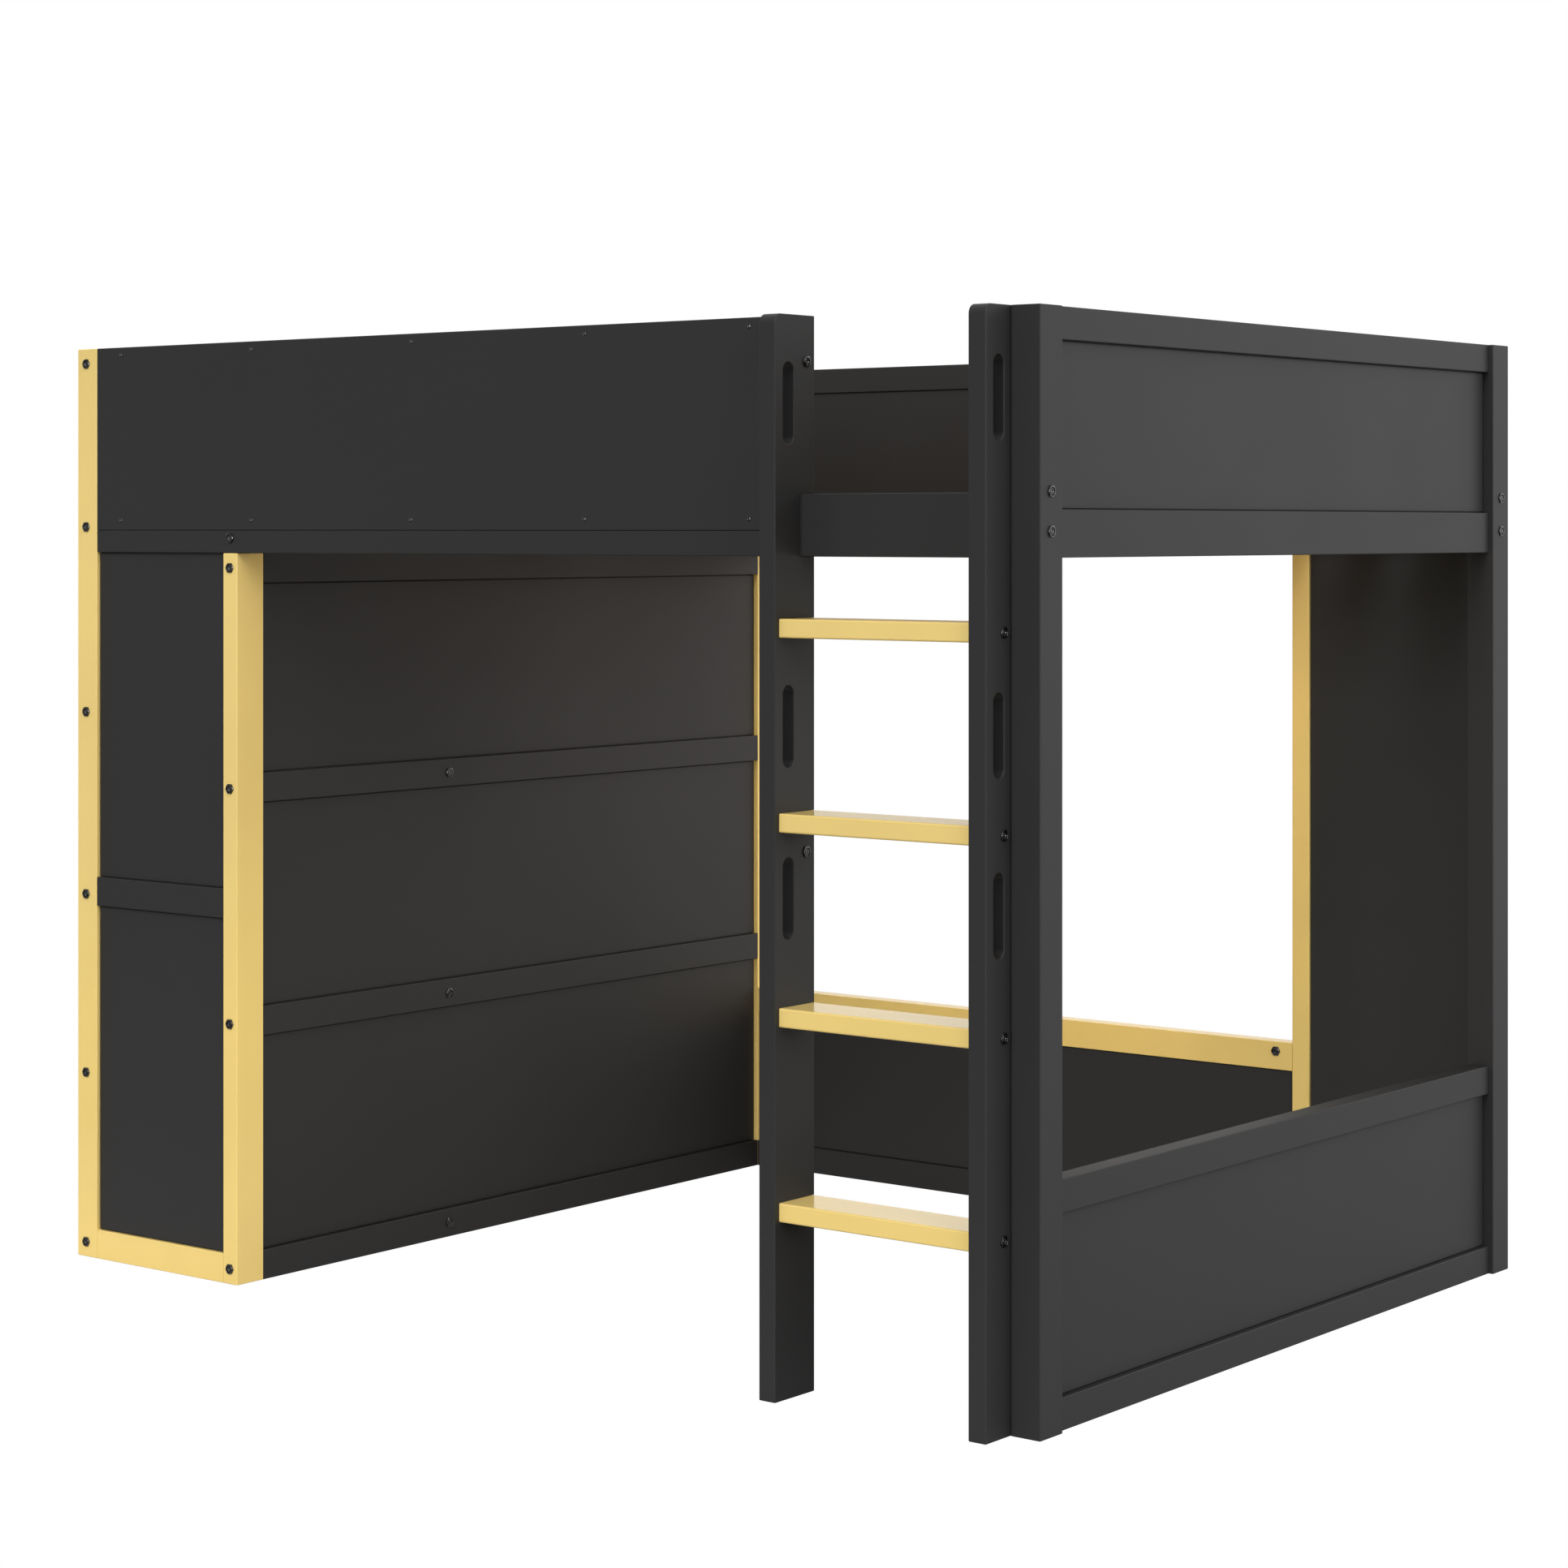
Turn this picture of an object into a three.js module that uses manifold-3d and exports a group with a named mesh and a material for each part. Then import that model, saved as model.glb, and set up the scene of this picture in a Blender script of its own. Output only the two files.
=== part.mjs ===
// A painted wooden loft bed: four corner posts, a raised bed with guards, a ladder let over the
// front side rail, a bookcase in the left end behind a panelled partition, and low panels elsewhere.
// Millimetres, +Z up. +X is the right end, -Y the front with the ladder. The floor is z = 0.
import * as THREE from "three";
import { mergeVertices } from "three/addons/utils/BufferGeometryUtils.js";
import Module from "manifold-3d";

const wasm = await Module();
wasm.setup();

// The bed as a whole
const BED_LENGTH = 2020; // outer face to outer face of the ends
const BED_WIDTH = 1436; // front face to back face of the posts
const BED_HEIGHT = 1582; // floor to the top of the posts and guards
const UNDER_BED = 1228; // floor to the underside of the side rails

// Posts
const POST_WIDTH = 50; // along the bed
const POST_DEPTH = 56.5; // across the bed
const INNER_POST_WIDTH = 34; // along the bed
const FRONT_INNER_POST_DEPTH = 60.5; // across the bed; the back ones are as deep as the rails
const BAY_LENGTH = 403; // end face to the far face of the inner posts

// Rails and boards
const RAIL_THICKNESS = 34;
const RAIL_HEIGHT = 50; // bottom rails, mid rails, shelf rails and the back's low top rail
const END_BOTTOM_RAIL_HEIGHT = 47; // the right end stands on a lower one
const SIDE_RAIL_HEIGHT = 92;
const END_LOW_RAIL_HEIGHT = 48; // right end, on top of the low panel
const END_BED_RAIL_HEIGHT = 68; // right end, at bed level
const GUARD_TOP_RAIL_HEIGHT = 47; // ends and back
const BOARD_THICKNESS = 12;
const TONGUE_THICKNESS = 4; // boards are rebated to this all round, and tenons are as thick
const SHADOW_GAP = 2; // from a board's full thickness to the rail or post beside it
const LOW_PANEL_HEIGHT = 354; // low panels of the right end and of the back
const END_RAIL_SETBACK = 8.5; // end rails behind the posts' outer faces
const END_BOARD_SETBACK = 9.5; // end boards behind their rails
const FRONT_BOARD_SETBACK = 6; // narrow front boards behind their rails
const BACK_BOARD_SETBACK = 4; // back boards behind the rails' inner faces
const PARTITION_BOARD_SETBACK = 9; // partition boards behind their rails

// Joints
const JOINT_GAP = 0.25; // between any two pieces that touch
const GROOVE_DEPTH = 6; // grooves that hold the boards' edges and the tenons
const GROOVE_END_PLAY = 1; // room left past the edge of a board or tenon
const TENON_SHOULDER = 8; // above and below a tenon
const OVERSHOOT = 1; // cutters run this far past the face that they cut

// Front guard: a board let into the front of the side rail and screwed to a rail behind it
const FRONT_GUARD_OVERLAP = 54; // how far the board comes down over the side rail
const FRONT_GUARD_RAIL_HEIGHT = 92;

// Narrow front panel
const FRONT_MID_RAIL_CENTRE = 638.5;

// Partition between the bookcase and the room below the bed
const PARTITION_RAIL_CENTRES = [25, 437.5, 832];

// Bookcase
const SHELF_RAIL_CENTRES = [25, 320, 632.5, 950];
const SHELF_THICKNESS = 15;
const SHELF_RABBET = 17; // how far a shelf lies on its rail
const SHELF_HOUSING = 4; // how deep its far edge goes into the partition board
const BOTTOM_SHELF_REST = 8; // how far the lowest shelf lies on the partition's bottom rail
const DIVIDER_THICKNESS = 18;
const DIVIDER_FROM_FRONT = 514; // centre of the divider behind the posts' front faces

// Ladder
const LADDER_RAIL_THICKNESS = 30;
const LADDER_PROUD = 60; // ladder rails in front of the posts' front faces
const LADDER_CLEAR_WIDTH = 341.5;
const LADDER_CORNER_RADIUS = 14;
const STEP_COUNT = 4;
const FIRST_STEP = 275; // floor to the middle of the lowest step
const TOP_STEP_DROP = 104; // underside of the side rail to the middle of the highest step
const STEP_THICKNESS = 28;
const STEP_SETBACK = 10; // steps behind the front edges of the ladder rails
const STEP_HOUSING = 4; // depth of the housings that hold the steps' ends
const GRIP_SLOT_WIDTH = 25.5;
const GRIP_SLOT_LENGTH = 119.5;
const GRIP_SLOT_SETBACK = 19; // behind the front edge of the ladder rail
const GRIP_SLOT_HEIGHTS = [729.5, 980.5]; // floor to the middles of the two lower slots
const TOP_GRIP_SLOT_DROP = 130; // top of the bed to the middle of the highest slot
const SLOT_ARC_STEPS = 10;

// Bed base
const SLAT_SEAT_RISE = 50; // underside of the side rails to the top of the ledgers and beam
const LEDGER_HEIGHT = 30;
const LEDGER_THICKNESS = 22;
const BEAM_WIDTH = 60;
const BEAM_HEIGHT = 42;
const BEAM_HOUSING = 10; // depth of the pockets in the two end rails
const SLAT_COUNT = 14;
const SLAT_WIDTH = 78;
const SLAT_THICKNESS = 18;
const SLAT_END_PLAY = 1.5; // between a slat's end and the side rail
const SLAT_ROLL_MARGIN = 24; // from the posts to the first and last slat
const TAPE_WIDTH = 25;
const TAPE_THICKNESS = 1;
const TAPE_EMBED = 0.5; // how far a tape is pressed into the slats by its staples
const TAPE_INSET = 260; // from a slat's end to the middle of the tape

// Planes that the sizes above give
const LEFT = -BED_LENGTH / 2;
const RIGHT = BED_LENGTH / 2;
const FRONT = (LADDER_PROUD - BED_WIDTH) / 2;
const BACK = FRONT + BED_WIDTH;
const ROOM_LEFT = LEFT + BAY_LENGTH; // face of the partition towards the room
const BAY_LEFT_INSIDE = ROOM_LEFT - INNER_POST_WIDTH;
const ROOM_RIGHT = RIGHT - BAY_LENGTH;
const BAY_RIGHT_INSIDE = ROOM_RIGHT + INNER_POST_WIDTH;
const POSTS_LEFT = LEFT + POST_WIDTH; // inner faces of the corner posts
const POSTS_RIGHT = RIGHT - POST_WIDTH;
const POSTS_FRONT = FRONT + POST_DEPTH;
const POSTS_BACK = BACK - POST_DEPTH;
const INNER_POST_BACK = FRONT + FRONT_INNER_POST_DEPTH;
const RAILS_FRONT = FRONT + RAIL_THICKNESS; // inner faces of the front and back rails
const RAILS_BACK = BACK - RAIL_THICKNESS;
const SIDE_RAIL_TOP = UNDER_BED + SIDE_RAIL_HEIGHT;
const FRONT_GUARD_BOTTOM = SIDE_RAIL_TOP - FRONT_GUARD_OVERLAP;
const SLAT_SEAT = UNDER_BED + SLAT_SEAT_RISE;
const GUARD_RAIL_BOTTOM = BED_HEIGHT - GUARD_TOP_RAIL_HEIGHT;
const END_LOW_RAIL_BOTTOM = LOW_PANEL_HEIGHT - END_LOW_RAIL_HEIGHT;
const BACK_LOW_RAIL_BOTTOM = LOW_PANEL_HEIGHT - RAIL_HEIGHT;
const END_RAIL_IN = END_RAIL_SETBACK + RAIL_THICKNESS; // end face to the inner face of an end rail
const PARTITION_BACK = ROOM_LEFT - RAIL_THICKNESS; // faces of the rails towards the bookcase
const PARTITION_BOARD_BACK = ROOM_LEFT - PARTITION_BOARD_SETBACK - BOARD_THICKNESS;

// Finishes
const BLACK_PAINT = { color: 0x3b3a39, roughness: 0.55, metalness: 0 };
const YELLOW_PAINT = { color: 0xe6c878, roughness: 0.5, metalness: 0 };
const BARE_PINE = { color: 0xdcbf92, roughness: 0.75, metalness: 0 };

const bed = new THREE.Group();
bed.name = "loft_bed";

function subAssembly(name) {
  const group = new THREE.Group();
  group.name = name;
  bed.add(group);
  return group;
}

// A closed three.js geometry as a solid that can be joined and cut.
function toSolid(geometry) {
  const bare = geometry.clone();
  bare.deleteAttribute("normal");
  bare.deleteAttribute("uv");
  const merged = mergeVertices(bare, 1e-4);
  const mesh = new wasm.Mesh({
    numProp: 3,
    vertProperties: merged.attributes.position.array,
    triVerts: new Uint32Array(merged.index.array),
  });
  return new wasm.Manifold(mesh);
}

// The solid's surface as a three.js geometry.
function toGeometry(solid) {
  const { vertProperties, triVerts } = solid.getMesh();
  const geometry = new THREE.BufferGeometry();
  geometry.setAttribute("position", new THREE.BufferAttribute(vertProperties, 3));
  geometry.setIndex(new THREE.BufferAttribute(triVerts, 1));
  const flat = geometry.toNonIndexed();
  flat.computeVertexNormals();
  return flat;
}

// The span of the given length about a middle.
function about(middle, length) {
  return [middle - length / 2, middle + length / 2];
}

// A square-edged block between two x, two y and two z planes.
function block([x0, x1], [y0, y1], [z0, z1]) {
  const box = new THREE.BoxGeometry(x1 - x0, y1 - y0, z1 - z0);
  box.translate((x0 + x1) / 2, (y0 + y1) / 2, (z0 + z1) / 2);
  return toSolid(box);
}

function cut(solid, ...cutters) {
  return cutters.flat().reduce((rest, cutter) => rest.subtract(cutter), solid);
}

function join(...solids) {
  return solids.flat().reduce((sum, solid) => sum.add(solid));
}

// Adds one named piece. Its geometry lies about its own middle, and its position puts it in place.
function addPiece(group, name, finish, solid) {
  const geometry = toGeometry(solid);
  geometry.computeBoundingBox();
  const middle = geometry.boundingBox.getCenter(new THREE.Vector3());
  geometry.translate(-middle.x, -middle.y, -middle.z);
  const mesh = new THREE.Mesh(geometry, new THREE.MeshStandardMaterial(finish));
  mesh.name = name;
  mesh.position.copy(middle);
  group.add(mesh);
}

// A wall of rails with boards in their grooves, between two posts. It runs along "x" or "y" between
// the posts' faces at from and to. Its rails are flush with the plane at face, their thickness lies
// on the inward side of it (+1 or -1), and its boards lie setback behind that plane. A board is
// rebated to a tongue all round, and its full thickness stops short of the rails and posts.
function wall({ along, from, to, face, inward, setback }) {
  const put = (length, depth, height) => {
    const across = depth.map((d) => face + inward * d).sort((a, b) => a - b);
    return along === "x" ? block(length, across, height) : block(across, length, height);
  };
  const boardDepth = [setback, setback + BOARD_THICKNESS];
  const tongueDepth = about(setback + BOARD_THICKNESS / 2, TONGUE_THICKNESS);
  const grooveDepth = about(setback + BOARD_THICKNESS / 2, TONGUE_THICKNESS + 2 * JOINT_GAP);
  const reach = GROOVE_DEPTH - GROOVE_END_PLAY;
  const betweenPosts = [from + JOINT_GAP, to - JOINT_GAP];
  const intoPosts = [from - reach, to + reach];
  const grooveLength = [from - GROOVE_DEPTH, to + GROOVE_DEPTH];

  return {
    // Grooves in the two posts, for tenons and boards alike
    grooveAtFrom: (height) => put([from - GROOVE_DEPTH, from + OVERSHOOT], grooveDepth, height),
    grooveAtTo: (height) => put([to - OVERSHOOT, to + GROOVE_DEPTH], grooveDepth, height),

    // Groove in the edge of the rail above or below a board that ends at z
    grooveUp: (z) => put(grooveLength, grooveDepth, [z - OVERSHOOT, z + GROOVE_DEPTH]),
    grooveDown: (z) => put(grooveLength, grooveDepth, [z - GROOVE_DEPTH, z + OVERSHOOT]),

    rail: ([bottom, top]) => {
      const body = put(betweenPosts, [0, RAIL_THICKNESS], [bottom, top]);
      const tenons = put(intoPosts, tongueDepth, [bottom + TENON_SHOULDER, top - TENON_SHOULDER]);
      return join(body, tenons);
    },

    board: ([bottom, top]) => {
      const tongue = put(intoPosts, tongueDepth, [bottom - reach, top + reach]);
      const field = put([from + SHADOW_GAP, to - SHADOW_GAP], boardDepth, [
        bottom + SHADOW_GAP,
        top - SHADOW_GAP,
      ]);
      return join(tongue, field);
    },
  };
}

// Heights of the grooves that the posts have for a wall from bottom to top
function grooveHeight(bottom, top) {
  return [bottom + TENON_SHOULDER - JOINT_GAP, top - TENON_SHOULDER + JOINT_GAP];
}

const BELOW_SIDE_RAIL = UNDER_BED + GROOVE_DEPTH; // boards that reach up into a side rail
const GUARD_HEIGHTS = grooveHeight(UNDER_BED, BED_HEIGHT);
const LOW_HEIGHTS = grooveHeight(0, LOW_PANEL_HEIGHT);
const BAY_HEIGHTS = [TENON_SHOULDER - JOINT_GAP, BELOW_SIDE_RAIL];

// Walls: where each runs and which way its boards are set back
const acrossBed = { along: "y", from: POSTS_FRONT, to: POSTS_BACK };
const rightEnd = wall({
  ...acrossBed,
  face: RIGHT - END_RAIL_SETBACK,
  inward: -1,
  setback: END_BOARD_SETBACK,
});
const leftEnd = wall({
  ...acrossBed,
  face: LEFT + END_RAIL_SETBACK,
  inward: 1,
  setback: END_BOARD_SETBACK,
});
const partition = wall({
  along: "y",
  from: INNER_POST_BACK,
  to: RAILS_BACK,
  face: ROOM_LEFT,
  inward: -1,
  setback: PARTITION_BOARD_SETBACK,
});
const frontBay = wall({
  along: "x",
  from: POSTS_LEFT,
  to: BAY_LEFT_INSIDE,
  face: FRONT,
  inward: 1,
  setback: FRONT_BOARD_SETBACK,
});
const backWall = { along: "x", face: RAILS_BACK, inward: 1, setback: BACK_BOARD_SETBACK };
const backGuard = wall({ ...backWall, from: POSTS_LEFT, to: POSTS_RIGHT });
const backLeftBay = wall({ ...backWall, from: POSTS_LEFT, to: BAY_LEFT_INSIDE });
const backLow = wall({ ...backWall, from: ROOM_LEFT, to: ROOM_RIGHT });
const backRightBay = wall({ ...backWall, from: BAY_RIGHT_INSIDE, to: POSTS_RIGHT });

// Ladder rails: where they stand along the bed
const RIGHT_LADDER_RAIL = [
  POSTS_RIGHT - JOINT_GAP - LADDER_RAIL_THICKNESS,
  POSTS_RIGHT - JOINT_GAP,
];
const LEFT_LADDER_RAIL = RIGHT_LADDER_RAIL.map(
  (x) => x - LADDER_CLEAR_WIDTH - LADDER_RAIL_THICKNESS,
);
const LADDER_FRONT = FRONT - LADDER_PROUD;

function addPosts() {
  const posts = subAssembly("posts");
  const leftSpan = [LEFT, POSTS_LEFT];
  const rightSpan = [POSTS_RIGHT, RIGHT];
  const frontSpan = [FRONT, POSTS_FRONT];
  const backSpan = [POSTS_BACK, BACK];
  const fullHeight = [0, BED_HEIGHT];
  const innerHeight = [0, UNDER_BED - JOINT_GAP];
  const leftInnerSpan = [BAY_LEFT_INSIDE, ROOM_LEFT];
  const rightInnerSpan = [ROOM_RIGHT, BAY_RIGHT_INSIDE];
  const innerBackSpan = [RAILS_BACK, BACK];
  const partitionHeights = grooveHeight(0, UNDER_BED);

  const frontLeft = cut(
    block(leftSpan, frontSpan, fullHeight),
    leftEnd.grooveAtFrom(GUARD_HEIGHTS),
    frontBay.grooveAtFrom(BAY_HEIGHTS),
  );
  const backLeft = cut(
    block(leftSpan, backSpan, fullHeight),
    leftEnd.grooveAtTo(GUARD_HEIGHTS),
    backLeftBay.grooveAtFrom(BAY_HEIGHTS),
    backGuard.grooveAtFrom(GUARD_HEIGHTS),
  );
  const frontRight = cut(
    block(rightSpan, frontSpan, fullHeight),
    rightEnd.grooveAtFrom(GUARD_HEIGHTS),
    rightEnd.grooveAtFrom(LOW_HEIGHTS),
  );
  const backRight = cut(
    block(rightSpan, backSpan, fullHeight),
    rightEnd.grooveAtTo(GUARD_HEIGHTS),
    rightEnd.grooveAtTo(LOW_HEIGHTS),
    backRightBay.grooveAtTo(BAY_HEIGHTS),
    backGuard.grooveAtTo(GUARD_HEIGHTS),
  );
  const innerFrontLeft = cut(
    block(leftInnerSpan, [FRONT, INNER_POST_BACK], innerHeight),
    frontBay.grooveAtTo(BAY_HEIGHTS),
    partition.grooveAtFrom(partitionHeights),
  );
  const innerBackLeft = cut(
    block(leftInnerSpan, innerBackSpan, innerHeight),
    backLeftBay.grooveAtTo(BAY_HEIGHTS),
    backLow.grooveAtFrom(LOW_HEIGHTS),
    partition.grooveAtTo(partitionHeights),
  );
  const innerBackRight = cut(
    block(rightInnerSpan, innerBackSpan, innerHeight),
    backLow.grooveAtTo(LOW_HEIGHTS),
    backRightBay.grooveAtFrom(BAY_HEIGHTS),
  );

  addPiece(posts, "corner_post_front_left", YELLOW_PAINT, frontLeft);
  addPiece(posts, "corner_post_back_left", YELLOW_PAINT, backLeft);
  addPiece(posts, "corner_post_front_right", BLACK_PAINT, frontRight);
  addPiece(posts, "corner_post_back_right", BLACK_PAINT, backRight);
  addPiece(posts, "inner_post_front_left", YELLOW_PAINT, innerFrontLeft);
  addPiece(posts, "inner_post_back_left", YELLOW_PAINT, innerBackLeft);
  addPiece(posts, "inner_post_back_right", YELLOW_PAINT, innerBackRight);
}

function addFront() {
  const front = subAssembly("front");
  const betweenPosts = [POSTS_LEFT + JOINT_GAP, POSTS_RIGHT - JOINT_GAP];
  const guardLength = [POSTS_LEFT + JOINT_GAP, LEFT_LADDER_RAIL[0] - JOINT_GAP];
  const panelDepth = [FRONT, FRONT + BOARD_THICKNESS];
  const behindPanel = FRONT + BOARD_THICKNESS + JOINT_GAP;

  // The side rail's upper front is cut back for the guard panel, up to the ladder.
  const rabbet = block(
    [POSTS_LEFT - OVERSHOOT, LEFT_LADDER_RAIL[0]],
    [FRONT - OVERSHOOT, behindPanel],
    [FRONT_GUARD_BOTTOM, SIDE_RAIL_TOP + OVERSHOOT],
  );
  const sideRail = cut(
    block(betweenPosts, [FRONT, RAILS_FRONT], [UNDER_BED, SIDE_RAIL_TOP]),
    rabbet,
    frontBay.grooveUp(UNDER_BED),
  );
  const panel = block(guardLength, panelDepth, [FRONT_GUARD_BOTTOM + JOINT_GAP, BED_HEIGHT]);
  const guardRail = block(
    guardLength,
    [behindPanel, RAILS_FRONT],
    [BED_HEIGHT - FRONT_GUARD_RAIL_HEIGHT, BED_HEIGHT],
  );
  addPiece(front, "side_rail_front", BLACK_PAINT, sideRail);
  addPiece(front, "guard_panel_front", BLACK_PAINT, panel);
  addPiece(front, "guard_top_rail_front", BLACK_PAINT, guardRail);

  const [midBottom, midTop] = about(FRONT_MID_RAIL_CENTRE, RAIL_HEIGHT);
  const bottomRail = cut(frontBay.rail([0, RAIL_HEIGHT]), frontBay.grooveDown(RAIL_HEIGHT));
  const midRail = cut(
    frontBay.rail([midBottom, midTop]),
    frontBay.grooveUp(midBottom),
    frontBay.grooveDown(midTop),
  );
  addPiece(front, "bay_bottom_rail_front", YELLOW_PAINT, bottomRail);
  addPiece(front, "bay_mid_rail_front", BLACK_PAINT, midRail);
  addPiece(front, "bay_lower_board_front", BLACK_PAINT, frontBay.board([RAIL_HEIGHT, midBottom]));
  addPiece(front, "bay_upper_board_front", BLACK_PAINT, frontBay.board([midTop, UNDER_BED]));
}

// The outline of one slot, straight-sided with full round ends, in ladder depth and height
function gripSlot(centreHeight) {
  const radius = GRIP_SLOT_WIDTH / 2;
  const middle = LADDER_FRONT + GRIP_SLOT_SETBACK + radius;
  const straight = GRIP_SLOT_LENGTH / 2 - radius;
  const hole = new THREE.Path();
  hole.absarc(middle, centreHeight + straight, radius, 0, Math.PI, false);
  hole.absarc(middle, centreHeight - straight, radius, Math.PI, 2 * Math.PI, false);
  hole.closePath();
  return hole;
}

// One side of the ladder, notched over the side rail, with grip slots and housings for the steps
function ladderRail([x0, x1], housingSide) {
  const outline = new THREE.Shape();
  outline.moveTo(LADDER_FRONT, 0);
  outline.lineTo(RAILS_FRONT, 0);
  outline.lineTo(RAILS_FRONT, BED_HEIGHT);
  outline.lineTo(LADDER_FRONT + LADDER_CORNER_RADIUS, BED_HEIGHT);
  outline.absarc(
    LADDER_FRONT + LADDER_CORNER_RADIUS,
    BED_HEIGHT - LADDER_CORNER_RADIUS,
    LADDER_CORNER_RADIUS,
    Math.PI / 2,
    Math.PI,
    false,
  );
  outline.closePath();
  outline.holes = [...GRIP_SLOT_HEIGHTS, BED_HEIGHT - TOP_GRIP_SLOT_DROP].map(gripSlot);

  const plank = new THREE.ExtrudeGeometry(outline, {
    depth: x1 - x0,
    bevelEnabled: false,
    curveSegments: SLOT_ARC_STEPS,
  });
  // The outline's two axes become depth and height, and its extrusion runs along the bed.
  plank.applyMatrix4(
    new THREE.Matrix4().set(0, 0, 1, x0, 1, 0, 0, 0, 0, 1, 0, 0, 0, 0, 0, 1),
  );
  const notch = block(
    [x0 - OVERSHOOT, x1 + OVERSHOOT],
    [FRONT - JOINT_GAP, RAILS_FRONT + OVERSHOOT],
    [UNDER_BED - JOINT_GAP, SIDE_RAIL_TOP + JOINT_GAP],
  );
  const housings = stepHeights().map((z) =>
    block(housingSide, stepDepth(JOINT_GAP), about(z, STEP_THICKNESS + 2 * JOINT_GAP)),
  );
  return cut(toSolid(plank), notch, housings);
}

// Middles of the steps, evenly spaced from the lowest to the highest
function stepHeights() {
  const pitch = (UNDER_BED - TOP_STEP_DROP - FIRST_STEP) / (STEP_COUNT - 1);
  return Array.from({ length: STEP_COUNT }, (_, i) => FIRST_STEP + i * pitch);
}

function stepDepth(room) {
  return [LADDER_FRONT + STEP_SETBACK - room, RAILS_FRONT + (room ? OVERSHOOT : 0)];
}

function addLadder() {
  const ladder = subAssembly("ladder");
  const clear = [LEFT_LADDER_RAIL[1], RIGHT_LADDER_RAIL[0]];
  const leftHousing = [clear[0] - STEP_HOUSING, clear[0] + OVERSHOOT];
  const rightHousing = [clear[1] - OVERSHOOT, clear[1] + STEP_HOUSING];
  const leftRail = ladderRail(LEFT_LADDER_RAIL, leftHousing);
  const rightRail = ladderRail(RIGHT_LADDER_RAIL, rightHousing);
  addPiece(ladder, "ladder_rail_left", BLACK_PAINT, leftRail);
  addPiece(ladder, "ladder_rail_right", BLACK_PAINT, rightRail);

  const seat = STEP_HOUSING - JOINT_GAP;
  const stepLength = [clear[0] - seat, clear[1] + seat];
  stepHeights().forEach((z, i) => {
    const step = block(stepLength, stepDepth(0), about(z, STEP_THICKNESS));
    addPiece(ladder, `ladder_step_${i + 1}`, YELLOW_PAINT, step);
  });
}

// A pocket in an end rail that the centre beam's end sits in
function beamPocket(x0, x1) {
  const middle = (FRONT + BACK) / 2;
  const height = [SLAT_SEAT - BEAM_HEIGHT - JOINT_GAP, SLAT_SEAT + JOINT_GAP];
  return block([x0, x1], about(middle, BEAM_WIDTH + 2 * JOINT_GAP), height);
}

function addRightEnd() {
  const end = subAssembly("right_end");
  const bedRailTop = UNDER_BED + END_BED_RAIL_HEIGHT;
  const inside = RIGHT - END_RAIL_IN;
  const bedRail = cut(
    rightEnd.rail([UNDER_BED, bedRailTop]),
    rightEnd.grooveDown(bedRailTop),
    beamPocket(inside - OVERSHOOT, inside + BEAM_HOUSING),
  );
  const guardRail = cut(
    rightEnd.rail([GUARD_RAIL_BOTTOM, BED_HEIGHT]),
    rightEnd.grooveUp(GUARD_RAIL_BOTTOM),
  );
  addPiece(end, "bed_rail_right", BLACK_PAINT, bedRail);
  addPiece(end, "guard_board_right", BLACK_PAINT, rightEnd.board([bedRailTop, GUARD_RAIL_BOTTOM]));
  addPiece(end, "guard_top_rail_right", BLACK_PAINT, guardRail);

  const bottomRail = cut(
    rightEnd.rail([0, END_BOTTOM_RAIL_HEIGHT]),
    rightEnd.grooveDown(END_BOTTOM_RAIL_HEIGHT),
  );
  const lowRail = cut(
    rightEnd.rail([END_LOW_RAIL_BOTTOM, LOW_PANEL_HEIGHT]),
    rightEnd.grooveUp(END_LOW_RAIL_BOTTOM),
  );
  const lowBoard = rightEnd.board([END_BOTTOM_RAIL_HEIGHT, END_LOW_RAIL_BOTTOM]);
  addPiece(end, "low_bottom_rail_right", BLACK_PAINT, bottomRail);
  addPiece(end, "low_board_right", BLACK_PAINT, lowBoard);
  addPiece(end, "low_top_rail_right", BLACK_PAINT, lowRail);
}

function addLeftEnd() {
  const end = subAssembly("left_end");
  const inside = LEFT + END_RAIL_IN;
  const bedRail = cut(
    leftEnd.rail([UNDER_BED, SIDE_RAIL_TOP]),
    leftEnd.grooveDown(SIDE_RAIL_TOP),
    beamPocket(inside - BEAM_HOUSING, inside + OVERSHOOT),
  );
  const guardRail = cut(
    leftEnd.rail([GUARD_RAIL_BOTTOM, BED_HEIGHT]),
    leftEnd.grooveUp(GUARD_RAIL_BOTTOM),
  );
  addPiece(end, "bed_rail_left", BLACK_PAINT, bedRail);
  addPiece(end, "guard_board_left", BLACK_PAINT, leftEnd.board([SIDE_RAIL_TOP, GUARD_RAIL_BOTTOM]));
  addPiece(end, "guard_top_rail_left", BLACK_PAINT, guardRail);
}

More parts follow.
